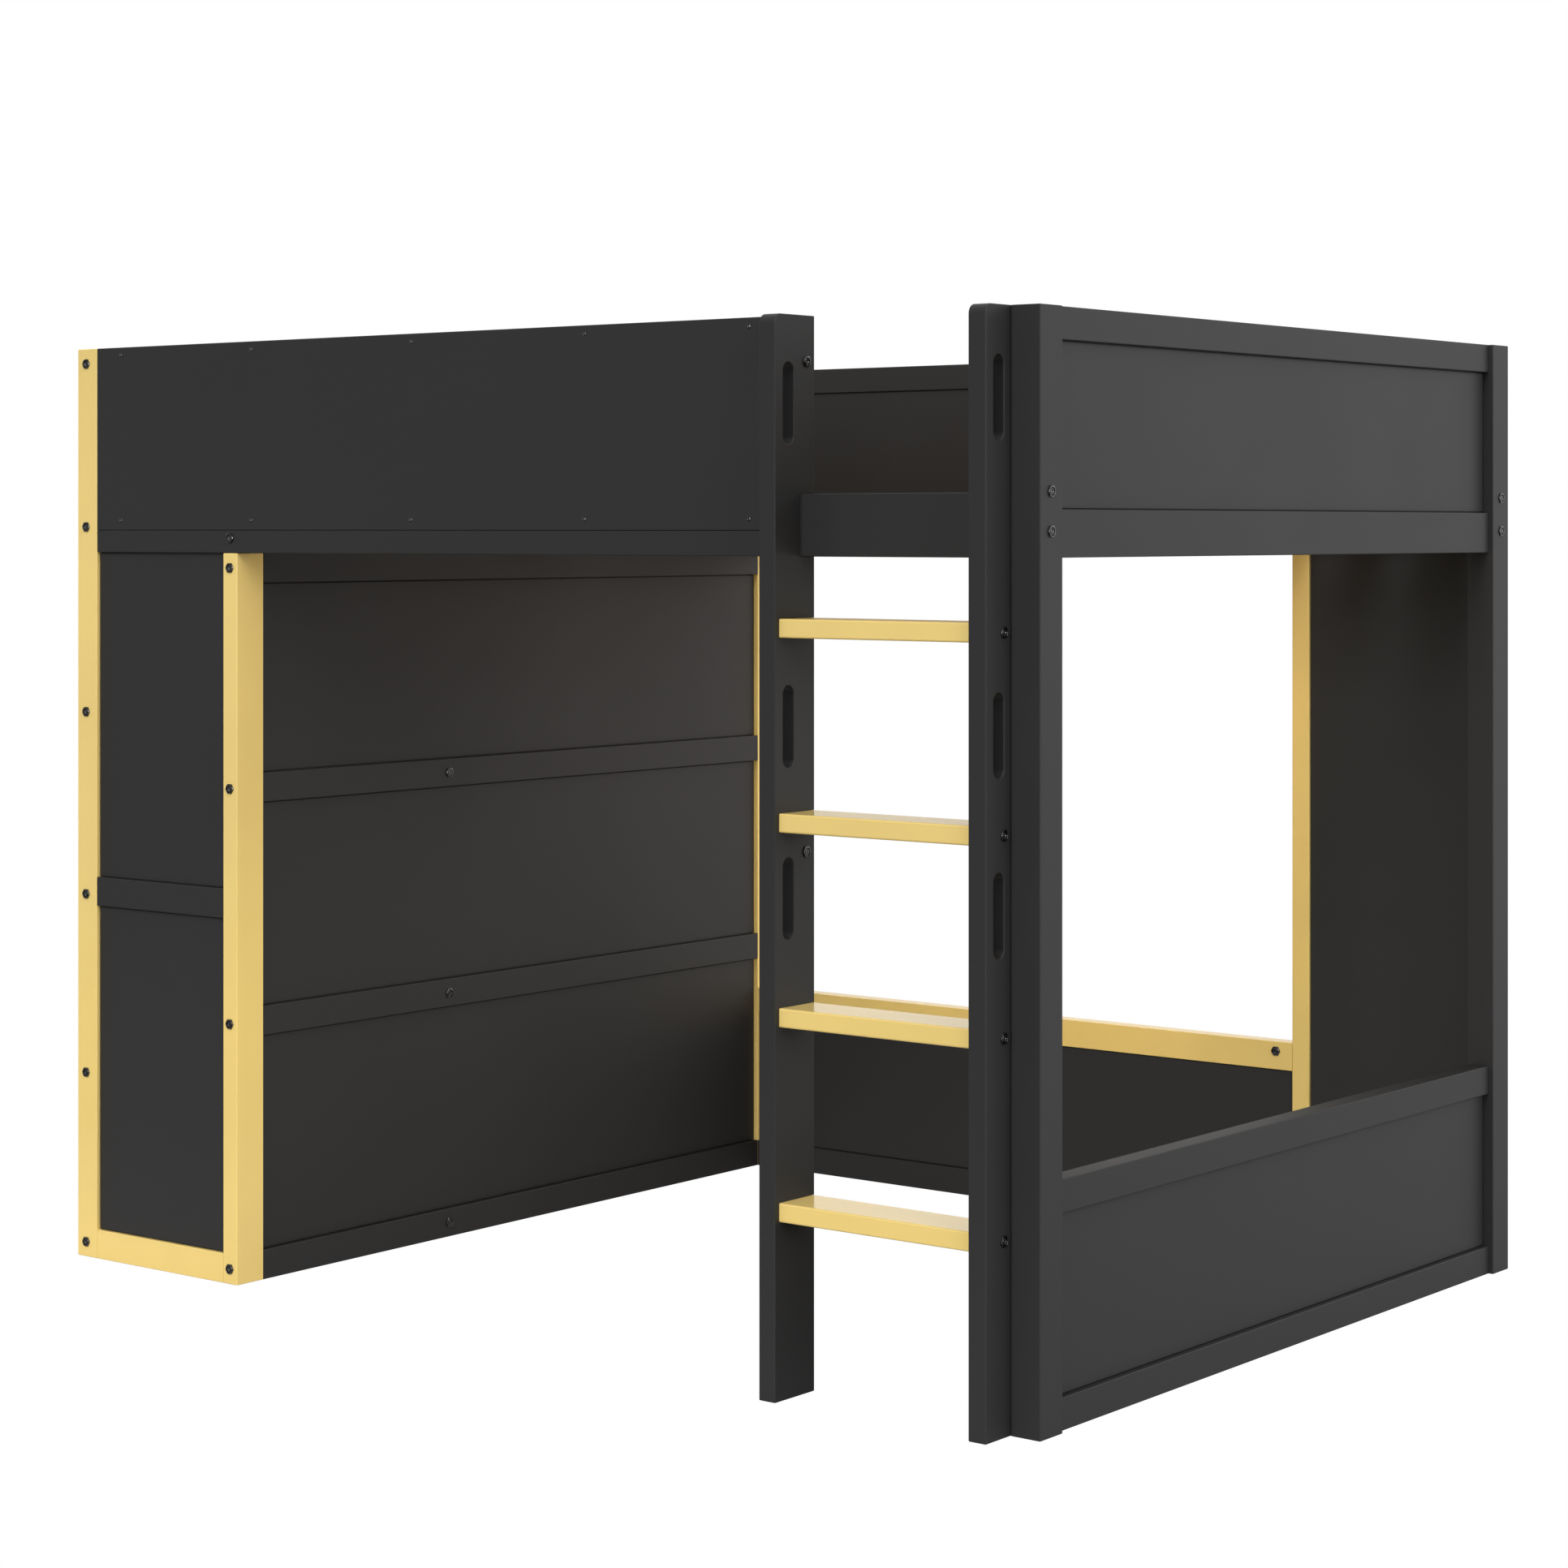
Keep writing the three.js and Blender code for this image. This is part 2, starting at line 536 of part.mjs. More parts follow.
function addBack() {
  const back = subAssembly("back");
  const betweenPosts = [POSTS_LEFT + JOINT_GAP, POSTS_RIGHT - JOINT_GAP];
  const sideRail = cut(
    block(betweenPosts, [RAILS_BACK, BACK], [UNDER_BED, SIDE_RAIL_TOP]),
    backGuard.grooveDown(SIDE_RAIL_TOP),
    backLeftBay.grooveUp(UNDER_BED),
    backRightBay.grooveUp(UNDER_BED),
  );
  const guardRail = cut(
    backGuard.rail([GUARD_RAIL_BOTTOM, BED_HEIGHT]),
    backGuard.grooveUp(GUARD_RAIL_BOTTOM),
  );
  addPiece(back, "side_rail_back", BLACK_PAINT, sideRail);
  addPiece(back, "guard_board_back", BLACK_PAINT, backGuard.board([SIDE_RAIL_TOP, GUARD_RAIL_BOTTOM]));
  addPiece(back, "guard_top_rail_back", BLACK_PAINT, guardRail);

  const lowRail = cut(
    backLow.rail([BACK_LOW_RAIL_BOTTOM, LOW_PANEL_HEIGHT]),
    backLow.grooveUp(BACK_LOW_RAIL_BOTTOM),
  );
  addPiece(back, "low_top_rail_back", YELLOW_PAINT, lowRail);
  const lowBoard = backLow.board([RAIL_HEIGHT, BACK_LOW_RAIL_BOTTOM]);
  addPiece(back, "low_board_back", BLACK_PAINT, lowBoard);

  const grooved = (run) => cut(run.rail([0, RAIL_HEIGHT]), run.grooveDown(RAIL_HEIGHT));
  const bayBoard = (run) => run.board([RAIL_HEIGHT, UNDER_BED]);
  addPiece(back, "low_bottom_rail_back", BLACK_PAINT, grooved(backLow));
  addPiece(back, "bay_bottom_rail_back_left", BLACK_PAINT, grooved(backLeftBay));
  addPiece(back, "bay_board_back_left", BLACK_PAINT, bayBoard(backLeftBay));
  addPiece(back, "bay_bottom_rail_back_right", BLACK_PAINT, grooved(backRightBay));
  addPiece(back, "bay_board_back_right", BLACK_PAINT, bayBoard(backRightBay));
}

// Top faces of the shelves and of the rails in front of them
function shelfTop(level) {
  return SHELF_RAIL_CENTRES[level] + RAIL_HEIGHT / 2;
}

// The room that a shelf leaves in what it crosses, over the given x and y
function shelfRoom(level, x, y) {
  const top = shelfTop(level);
  return block(x, y, [top - SHELF_THICKNESS - JOINT_GAP, top + JOINT_GAP]);
}

function addPartition() {
  const group = subAssembly("partition");
  const topRail = UNDER_BED - JOINT_GAP - RAIL_HEIGHT / 2;
  const rails = [...PARTITION_RAIL_CENTRES, topRail].map((z) => about(z, RAIL_HEIGHT));
  const acrossShelf = [RAILS_FRONT, RAILS_BACK];

  rails.forEach(([bottom, top], i) => {
    let rail = partition.rail([bottom, top]);
    if (i > 0) rail = cut(rail, partition.grooveUp(bottom));
    if (i < rails.length - 1) rail = cut(rail, partition.grooveDown(top));
    if (i === 0) {
      const rest = [PARTITION_BACK - OVERSHOOT, PARTITION_BACK + BOTTOM_SHELF_REST];
      rail = cut(rail, shelfRoom(0, rest, acrossShelf));
    }
    addPiece(group, `partition_rail_${i + 1}`, BLACK_PAINT, rail);
  });

  // Each board has a housing in its far side for the shelf that meets it.
  const housing = [PARTITION_BOARD_BACK - OVERSHOOT, PARTITION_BOARD_BACK + SHELF_HOUSING];
  rails.slice(1).forEach(([nextBottom], i) => {
    const board = partition.board([rails[i][1], nextBottom]);
    const housed = cut(board, shelfRoom(i + 1, housing, acrossShelf));
    addPiece(group, `partition_board_${i + 1}`, BLACK_PAINT, housed);
  });
}

function addBookcase() {
  const bookcase = subAssembly("bookcase");
  const railDepth = [LEFT + END_RAIL_SETBACK, LEFT + END_RAIL_IN];
  const rabbetFrom = LEFT + END_RAIL_IN - SHELF_RABBET;
  const betweenPosts = [POSTS_FRONT + JOINT_GAP, POSTS_BACK - JOINT_GAP];
  const shelfWidth = [RAILS_FRONT + JOINT_GAP, RAILS_BACK - JOINT_GAP];
  const divider = about(FRONT + DIVIDER_FROM_FRONT, DIVIDER_THICKNESS);
  const dividerRoom = about(FRONT + DIVIDER_FROM_FRONT, DIVIDER_THICKNESS + 2 * JOINT_GAP);
  const dividerLength = [LEFT + END_RAIL_IN + JOINT_GAP, PARTITION_BACK - JOINT_GAP];
  const crossing = (dividerLength[0] + dividerLength[1]) / 2;
  const overFloor = [-OVERSHOOT, UNDER_BED];

  // Shelves are notched round the posts that stand inside their outline.
  const postNotches = [
    [LEFT, POSTS_LEFT + JOINT_GAP, RAILS_FRONT - OVERSHOOT, POSTS_FRONT + JOINT_GAP],
    [LEFT, POSTS_LEFT + JOINT_GAP, POSTS_BACK - JOINT_GAP, RAILS_BACK + OVERSHOOT],
    [BAY_LEFT_INSIDE - JOINT_GAP, ROOM_LEFT, RAILS_FRONT - OVERSHOOT, INNER_POST_BACK + JOINT_GAP],
  ].map(([x0, x1, y0, y1]) => block([x0, x1], [y0, y1], overFloor));

  let dividerBoard = block(dividerLength, divider, [0, UNDER_BED - JOINT_GAP]);
  SHELF_RAIL_CENTRES.forEach((centre, i) => {
    const top = shelfTop(i);
    const rail = cut(
      block(railDepth, betweenPosts, about(centre, RAIL_HEIGHT)),
      shelfRoom(i, [rabbetFrom - JOINT_GAP, LEFT + END_RAIL_IN + OVERSHOOT], [FRONT, BACK]),
    );
    addPiece(bookcase, `shelf_rail_${i + 1}`, BLACK_PAINT, rail);

    // Shelf and divider are halved over each other: the shelf's slot is in its far half.
    const intoBoard = PARTITION_BOARD_BACK + SHELF_HOUSING;
    const farEdge = i === 0 ? PARTITION_BACK + BOTTOM_SHELF_REST : intoBoard;
    const shelfLength = [rabbetFrom, farEdge - JOINT_GAP];
    const shelf = cut(
      block(shelfLength, shelfWidth, [top - SHELF_THICKNESS, top]),
      block([crossing, farEdge + OVERSHOOT], dividerRoom, overFloor),
      postNotches,
    );
    addPiece(bookcase, `shelf_${i + 1}`, BLACK_PAINT, shelf);
    const slot = [dividerLength[0] - OVERSHOOT, crossing + JOINT_GAP];
    dividerBoard = cut(dividerBoard, shelfRoom(i, slot, dividerRoom));
  });
  addPiece(bookcase, "bookcase_divider", BLACK_PAINT, dividerBoard);
}

function addBase() {
  const base = subAssembly("bed_base");
  const middle = (FRONT + BACK) / 2;
  const betweenPosts = [POSTS_LEFT + JOINT_GAP, POSTS_RIGHT - JOINT_GAP];
  const ledgerHeight = [SLAT_SEAT - LEDGER_HEIGHT, SLAT_SEAT];
  const ledgerFront = [RAILS_FRONT + JOINT_GAP, RAILS_FRONT + JOINT_GAP + LEDGER_THICKNESS];
  const ledgerBack = [RAILS_BACK - JOINT_GAP - LEDGER_THICKNESS, RAILS_BACK - JOINT_GAP];
  addPiece(base, "ledger_front", BARE_PINE, block(betweenPosts, ledgerFront, ledgerHeight));
  addPiece(base, "ledger_back", BARE_PINE, block(betweenPosts, ledgerBack, ledgerHeight));

  // The cross bearer lies on the partition. It is notched for the ledgers and halved with the beam.
  const bearerLength = [PARTITION_BACK, ROOM_LEFT];
  const bearerRoom = [bearerLength[0] - JOINT_GAP, bearerLength[1] + JOINT_GAP];
  const halfway = SLAT_SEAT - BEAM_HEIGHT / 2;
  const ledgerRoomHeight = [ledgerHeight[0] - JOINT_GAP, SLAT_SEAT + OVERSHOOT];
  const bearer = cut(
    block(bearerLength, [RAILS_FRONT + JOINT_GAP, RAILS_BACK - JOINT_GAP], [UNDER_BED, SLAT_SEAT]),
    block(bearerRoom, [RAILS_FRONT, ledgerFront[1] + JOINT_GAP], ledgerRoomHeight),
    block(bearerRoom, [ledgerBack[0] - JOINT_GAP, RAILS_BACK], ledgerRoomHeight),
    block(bearerRoom, about(middle, BEAM_WIDTH + 2 * JOINT_GAP), [halfway, SLAT_SEAT + OVERSHOOT]),
  );
  addPiece(base, "cross_bearer", BLACK_PAINT, bearer);

  const seat = END_RAIL_IN - BEAM_HOUSING + JOINT_GAP;
  const beamBottom = SLAT_SEAT - BEAM_HEIGHT;
  const beamWidth = about(middle, BEAM_WIDTH);
  const beam = cut(
    block([LEFT + seat, RIGHT - seat], beamWidth, [beamBottom, SLAT_SEAT]),
    block(bearerRoom, about(middle, BEAM_WIDTH + 2 * OVERSHOOT), [
      beamBottom - OVERSHOOT,
      halfway + JOINT_GAP,
    ]),
  );
  addPiece(base, "centre_beam", BARE_PINE, beam);

  // The slats are held at their spacing by two tapes stapled along them, as one roll.
  const slatLength = [RAILS_FRONT + SLAT_END_PLAY, RAILS_BACK - SLAT_END_PLAY];
  const slatBottom = SLAT_SEAT + JOINT_GAP;
  const slatTop = slatBottom + SLAT_THICKNESS;
  const firstSlat = POSTS_LEFT + SLAT_ROLL_MARGIN + SLAT_WIDTH / 2;
  const lastSlat = POSTS_RIGHT - SLAT_ROLL_MARGIN - SLAT_WIDTH / 2;
  const pitch = (lastSlat - firstSlat) / (SLAT_COUNT - 1);
  const slats = Array.from({ length: SLAT_COUNT }, (_, i) =>
    block(about(firstSlat + i * pitch, SLAT_WIDTH), slatLength, [slatBottom, slatTop]),
  );
  const tapeHeight = [slatTop - TAPE_EMBED, slatTop - TAPE_EMBED + TAPE_THICKNESS];
  const tapes = [slatLength[0] + TAPE_INSET, slatLength[1] - TAPE_INSET].map((y) =>
    block([firstSlat, lastSlat], about(y, TAPE_WIDTH), tapeHeight),
  );
  addPiece(base, "slat_roll", BARE_PINE, join(slats, tapes));
}

addPosts();
addFront();
addLadder();
addRightEnd();
addLeftEnd();
addBack();
addPartition();
addBookcase();
addBase();

export default bed;
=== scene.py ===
# A painted wooden loft bed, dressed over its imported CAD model. Metres, +Z up. The bed stands on
# z = 0 with its ladder towards -Y, its bookcase at the -X end and its open end at +X.
import math

import bmesh
import bpy
import numpy as np
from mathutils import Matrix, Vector


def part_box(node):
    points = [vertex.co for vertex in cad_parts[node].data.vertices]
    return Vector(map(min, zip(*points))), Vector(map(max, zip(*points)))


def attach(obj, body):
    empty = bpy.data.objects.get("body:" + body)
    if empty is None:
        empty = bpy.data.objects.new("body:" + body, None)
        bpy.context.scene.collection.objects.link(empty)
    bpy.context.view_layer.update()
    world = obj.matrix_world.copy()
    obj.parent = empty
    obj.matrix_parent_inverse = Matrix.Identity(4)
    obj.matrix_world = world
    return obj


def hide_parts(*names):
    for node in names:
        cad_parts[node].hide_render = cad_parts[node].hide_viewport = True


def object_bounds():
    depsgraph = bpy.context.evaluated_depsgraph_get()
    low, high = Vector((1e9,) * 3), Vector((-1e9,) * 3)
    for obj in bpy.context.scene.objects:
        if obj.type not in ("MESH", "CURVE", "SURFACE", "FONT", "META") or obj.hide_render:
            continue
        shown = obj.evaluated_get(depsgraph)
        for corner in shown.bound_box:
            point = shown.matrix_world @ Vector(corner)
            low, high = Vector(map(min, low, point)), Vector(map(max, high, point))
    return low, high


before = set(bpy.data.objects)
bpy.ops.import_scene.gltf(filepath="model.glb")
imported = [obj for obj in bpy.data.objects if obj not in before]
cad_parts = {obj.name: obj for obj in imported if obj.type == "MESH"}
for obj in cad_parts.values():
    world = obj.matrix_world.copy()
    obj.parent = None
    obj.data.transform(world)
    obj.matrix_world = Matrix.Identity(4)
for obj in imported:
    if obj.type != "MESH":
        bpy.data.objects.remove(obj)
cad_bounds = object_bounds()
scene = bpy.context.scene

# Camera
# It stands level in front of the bed's right end, at about eye height of a seated person, and its
# lens is shifted down so that the verticals stay upright.
CAMERA_PLACE = (3.706, -4.706, 1.2688)
CAMERA_AZIMUTH = math.radians(38.08)  # from -Y towards +X
FOCAL_LENGTH = 79.76  # mm on a 36 mm sensor
HORIZON_ABOVE_CENTRE = 314.5  # pixels of the photograph
PHOTO_SIDE = 1932  # pixels

camera = bpy.data.objects.new("camera", bpy.data.cameras.new("camera"))
scene.collection.objects.link(camera)
camera.location = CAMERA_PLACE
camera.rotation_euler = (math.radians(90), 0, CAMERA_AZIMUTH)
camera.data.lens = FOCAL_LENGTH
camera.data.shift_y = -HORIZON_ABOVE_CENTRE / PHOTO_SIDE
scene.camera = camera

# Studio
# A white sweep: a backdrop glows behind the bed, and a pale floor glows faintly from below. Wide
# keys light the front and the open end, and a panel stands where each of them mirrors it. Small
# warm lamps add what the yellow paint and the bare slats throw on the black faces near them.
BACKDROP_GLOW = 1.35
ROOM_GLOW = 0.2  # the room on the camera's side
BACKDROP_FROM = 0.1  # cosines of the angle from the backdrop's middle: the glow begins
BACKDROP_TO = 0.5  # and is at its full strength
HORIZON_GLOW = 0.4  # share of the glow that is left level with the floor
HORIZON_FROM = 0.05  # sines of the heights between which the glow grows to its full strength
HORIZON_TO = 0.25
PURE_WHITE = "#ffffff"
FLOOR_GREY = "#9e9e9e"
FLOOR_GLOW = 0.12
FLOOR_LEFT, FLOOR_RIGHT = -6.0, 8.0
FLOOR_FRONT, FLOOR_BACK = -1.5, 12.0
FAR_LIGHTS = {  # wide soft suns, each with the way it comes from and its spread in degrees
    "key": {"from": (1.2, -5.0, 5.3), "strength": 1.5, "spread": 30},
    "front_key": {"from": (0.0, -5.0, 0.4), "strength": 0.85, "spread": 14},
    "end_key": {"from": (5.0, -0.45, 2.0), "strength": 2.1, "spread": 60},
}
SOFT_LIGHTS = {  # flat panels. Those named a bounce don't show in glossy faces.
    "bounce": {
        "place": (0.5, 0.1, 0.8),
        "aim": (-0.6, 0.45, 1.1),
        "size": (0.6, 0.5),
        "watts": 1.1,
        "colour": "#ffc98a",
    },
    "back_bounce": {
        "place": (0.45, -0.1, 0.9),
        "aim": (0.45, 0.7, 0.4),
        "size": (0.9, 0.3),
        "watts": 1.0,
        "colour": "#ffd500",
    },
    "back_glow": {
        "place": (0.3, 1.9, 1.0),
        "aim": (-0.6, 0.3, 0.9),
        "size": (0.8, 0.8),
        "watts": 1.6,
        "colour": "#ffdcc0",
    },
    "end_panel": {
        "place": (3.9, 3.3, 1.4),
        "aim": (1.0, 0.0, 1.0),
        "size": (4.2, 4.0),
        "watts": 50,
        "colour": PURE_WHITE,
    },
    "left_panel": {
        "place": (-4.2, -5.2, 0.9),
        "aim": (0.0, 0.0, 0.8),
        "size": (4.0, 2.0),
        "watts": 15,
        "colour": PURE_WHITE,
    },
}


def linear(hex_colour):
    """An sRGB hex colour as linear RGBA: c / 12.92 up to 0.04045, above it the 2.4 power curve."""
    c = np.array([int(hex_colour[i:i + 2], 16) for i in (1, 3, 5)]) / 255
    c = np.where(c <= 0.04045, c / 12.92, ((c + 0.055) / 1.055) ** 2.4)
    return (*c.tolist(), 1.0)


def add_node(tree, kind, inputs=None, **properties):
    """Adds one node. Each of its inputs named is linked to an output, or set to a value."""
    node = tree.nodes.new("ShaderNode" + kind)
    for name, value in properties.items():
        setattr(node, name, value)
    for name, value in (inputs or {}).items():
        if isinstance(value, bpy.types.NodeSocket):
            tree.links.new(value, node.inputs[name])
        else:
            node.inputs[name].default_value = value
    return node


def white_sweep_sky():
    """A room that glows white behind the bed and less towards the camera and the horizon.

    The camera sees plain white in it, as in a picture whose background is burnt out.
    """
    world = bpy.data.worlds.new("white_sweep")
    world.use_nodes = True
    tree = world.node_tree
    tree.nodes.clear()
    direction = add_node(tree, "TexCoord").outputs["Generated"]
    backdrop = (-math.sin(CAMERA_AZIMUTH), math.cos(CAMERA_AZIMUTH), 0)
    facing = add_node(tree, "VectorMath", {0: direction, 1: backdrop}, operation="DOT_PRODUCT")
    glow = add_node(
        tree,
        "MapRange",
        {
            "Value": facing.outputs["Value"],
            "From Min": BACKDROP_FROM,
            "From Max": BACKDROP_TO,
            "To Min": ROOM_GLOW,
            "To Max": BACKDROP_GLOW,
        },
        interpolation_type="SMOOTHSTEP",
    )
    height = add_node(tree, "SeparateXYZ", {"Vector": direction}).outputs["Z"]
    rising = add_node(
        tree,
        "MapRange",
        {
            "Value": height,
            "From Min": HORIZON_FROM,
            "From Max": HORIZON_TO,
            "To Min": HORIZON_GLOW,
            "To Max": 1.0,
        },
    )
    strength = add_node(tree, "Math", {0: glow.outputs[0], 1: rising.outputs[0]}, operation="MULTIPLY")
    lit = add_node(tree, "Background", {"Color": linear(PURE_WHITE), "Strength": strength.outputs[0]})
    burnt_out = add_node(tree, "Background", {"Color": linear(PURE_WHITE), "Strength": 1.0})
    seen = add_node(tree, "LightPath").outputs["Is Camera Ray"]
    either = add_node(tree, "MixShader", {0: seen, 1: lit.outputs[0], 2: burnt_out.outputs[0]})
    add_node(tree, "OutputWorld", {"Surface": either.outputs[0]})
    return world


def white_sweep_vinyl():
    """Matt white studio vinyl, calendered smooth and lit from below.

    The bed gets a pale grey floor's light from it, and the camera sees it burnt out to white.
    """
    material = bpy.data.materials.new("white_sweep_vinyl")
    material.use_nodes = True
    tree = material.node_tree
    tree.nodes.clear()
    lit = add_node(tree, "BsdfDiffuse", {"Color": linear(FLOOR_GREY)})
    lit_through = add_node(tree, "Emission", {"Color": linear(PURE_WHITE), "Strength": FLOOR_GLOW})
    matt = add_node(tree, "AddShader", {0: lit.outputs[0], 1: lit_through.outputs[0]})
    burnt_out = add_node(tree, "Emission", {"Color": linear(PURE_WHITE), "Strength": 1.0})
    seen = add_node(tree, "LightPath").outputs["Is Camera Ray"]
    either = add_node(tree, "MixShader", {0: seen, 1: matt.outputs[0], 2: burnt_out.outputs[0]})
    add_node(tree, "OutputMaterial", {"Surface": either.outputs[0]})
    return material


scene.view_settings.view_transform = "Standard"
scene.world = white_sweep_sky()

floor_mesh = bpy.data.meshes.new("floor")
floor_corners = [(FLOOR_LEFT, FLOOR_FRONT, 0), (FLOOR_RIGHT, FLOOR_FRONT, 0)]
floor_corners += [(FLOOR_RIGHT, FLOOR_BACK, 0), (FLOOR_LEFT, FLOOR_BACK, 0)]
floor_mesh.from_pydata(floor_corners, [], [(0, 1, 2, 3)])
floor_mesh.materials.append(white_sweep_vinyl())
floor = bpy.data.objects.new("floor", floor_mesh)
scene.collection.objects.link(floor)

for name, light in FAR_LIGHTS.items():
    lamp = bpy.data.objects.new(name, bpy.data.lights.new(name, "SUN"))
    scene.collection.objects.link(lamp)
    lamp.data.energy = light["strength"]
    lamp.data.angle = math.radians(light["spread"])
    lamp.rotation_euler = Vector(light["from"]).to_track_quat("Z", "Y").to_euler()

for name, light in SOFT_LIGHTS.items():
    lamp = bpy.data.objects.new(name, bpy.data.lights.new(name, "AREA"))
    scene.collection.objects.link(lamp)
    lamp.data.shape = "RECTANGLE"
    lamp.data.size, lamp.data.size_y = light["size"]
    lamp.data.energy = light["watts"]
    lamp.data.color = linear(light["colour"])[:3]
    lamp.location = light["place"]
    aim = Vector(light["aim"]) - Vector(light["place"])
    lamp.rotation_euler = aim.to_track_quat("-Z", "Y").to_euler()
    lamp.visible_camera = False
    lamp.visible_glossy = not name.endswith("bounce")

# Posts
# Four corner posts and three inner posts, planed softwood sprayed with satin paint: yellow, but for
# the two at the open end. Their long edges are eased to a small radius, as on all the rails.
EASED_RADIUS = 0.0016  # outer edges, planed round before painting
CUT_RADIUS = 0.0003  # edges of grooves, tenons and shoulders, only sanded
ROUNDING_STEPS = 3
WELD = 1e-5  # corners nearer than this are one
FLAT = math.radians(0.5)  # faces that turn by less than this are one
CORNER = math.radians(45)  # an edge that turns by more than this is a corner
BLACK = {
    "name": "black_satin_paint",
    "slot": "black_paint",
    "colour": "#201f1f",
    "roughness": 0.6,
    "ior": 1.47,
}
YELLOW = {  # the glossier coat of the two
    "name": "yellow_satin_paint",
    "slot": "yellow_paint",
    "colour": "#f0d280",
    "roughness": 0.16,
    "ior": 1.38,
}
STIPPLE = 0.0012  # size of the sprayed paint's orange peel
STIPPLE_HEIGHT = 0.00005
RISE_ACROSS = 0.004  # spacing of the grain that rises faintly through the paint
RISE_ALONG = 0.12  # length of that grain
RISE_HEIGHT = 0.0002
MOTTLE = 0.35  # size of the patches where the coat is a little thicker
MOTTLE_TONES = (0.965, 1.035)  # the thinnest and thickest coat, as shares of the colour
MOTTLE_STOPS = (0.35, 0.65)  # values of the patches' noise at which those two are reached
SHEEN_STOPS = (0.3, 0.7)  # and at which the roughness is SHEEN_SPREAD below and above its own
SHEEN_SPREAD = 0.025


def new_material(name):
    """A plain material to give a finish to, with its node tree and its shader."""
    material = bpy.data.materials.new(name)
    material.use_nodes = True
    return material, material.node_tree, material.node_tree.nodes["Principled BSDF"]


def drawn_out(axis, across, along):
    """Scale of a pattern with features of size across, and of length along on one axis."""
    scale = [1 / across] * 3
    scale[axis] = 1 / along
    return scale


def satin_paint(paint, axis):
    """Water-based satin lacquer, sprayed on wood whose grain runs along one axis (0, 1 or 2).

    The eye sees an even colour with a soft sheen, a faint orange peel, and grain only in raking
    light.
    """
    name = f"{paint['name']}_{'xyz'[axis]}"
    if name in bpy.data.materials:
        return bpy.data.materials[name]
    material, tree, shader = new_material(name)
    place = add_node(tree, "TexCoord").outputs["Object"]

    mottle = add_node(tree, "TexNoise", {"Vector": place, "Scale": 1 / MOTTLE, "Detail": 3.0})
    tone = add_node(tree, "ValToRGB", {"Fac": mottle.outputs["Fac"]})
    colour = np.array(linear(paint["colour"]))
    for stop, position, share in zip(tone.color_ramp.elements, MOTTLE_STOPS, MOTTLE_TONES):
        stop.position = position
        stop.color = (*np.clip(colour[:3] * share, 0, 1), 1)
    tree.links.new(tone.outputs["Color"], shader.inputs["Base Color"])

    sheen = add_node(
        tree,
        "MapRange",
        {
            "Value": mottle.outputs["Fac"],
            "From Min": SHEEN_STOPS[0],
            "From Max": SHEEN_STOPS[1],
            "To Min": paint["roughness"] - SHEEN_SPREAD,
            "To Max": paint["roughness"] + SHEEN_SPREAD,
        },
    )
    tree.links.new(sheen.outputs["Result"], shader.inputs["Roughness"])

    along = add_node(tree, "Mapping", {"Vector": place, "Scale": drawn_out(axis, RISE_ACROSS, RISE_ALONG)})
    grain = add_node(tree, "TexNoise", {"Vector": along.outputs[0], "Scale": 1.0, "Detail": 2.0})
    peel = add_node(tree, "TexNoise", {"Vector": place, "Scale": 1 / STIPPLE, "Detail": 1.0})
    raised = add_node(
        tree,
        "Bump",
        {"Height": grain.outputs["Fac"], "Strength": 0.12, "Distance": RISE_HEIGHT},
    )
    peeled = add_node(
        tree,
        "Bump",
        {
            "Height": peel.outputs["Fac"],
            "Strength": 0.1,
            "Distance": STIPPLE_HEIGHT,
            "Normal": raised.outputs[0],
        },
    )
    tree.links.new(peeled.outputs["Normal"], shader.inputs["Normal"])
    shader.inputs["IOR"].default_value = paint["ior"]
    return material


def outer_edges(middles, normals, low, high):
    """Shares of the eased radius: 1 where both faces lie on the piece's box, little elsewhere."""
    reach = np.maximum(normals * low, normals * high).sum(2)
    on_box = np.abs((middles[:, None] * normals).sum(2) - reach) < 2 * WELD
    return np.where(on_box.all(1), 1.0, CUT_RADIUS / EASED_RADIUS)


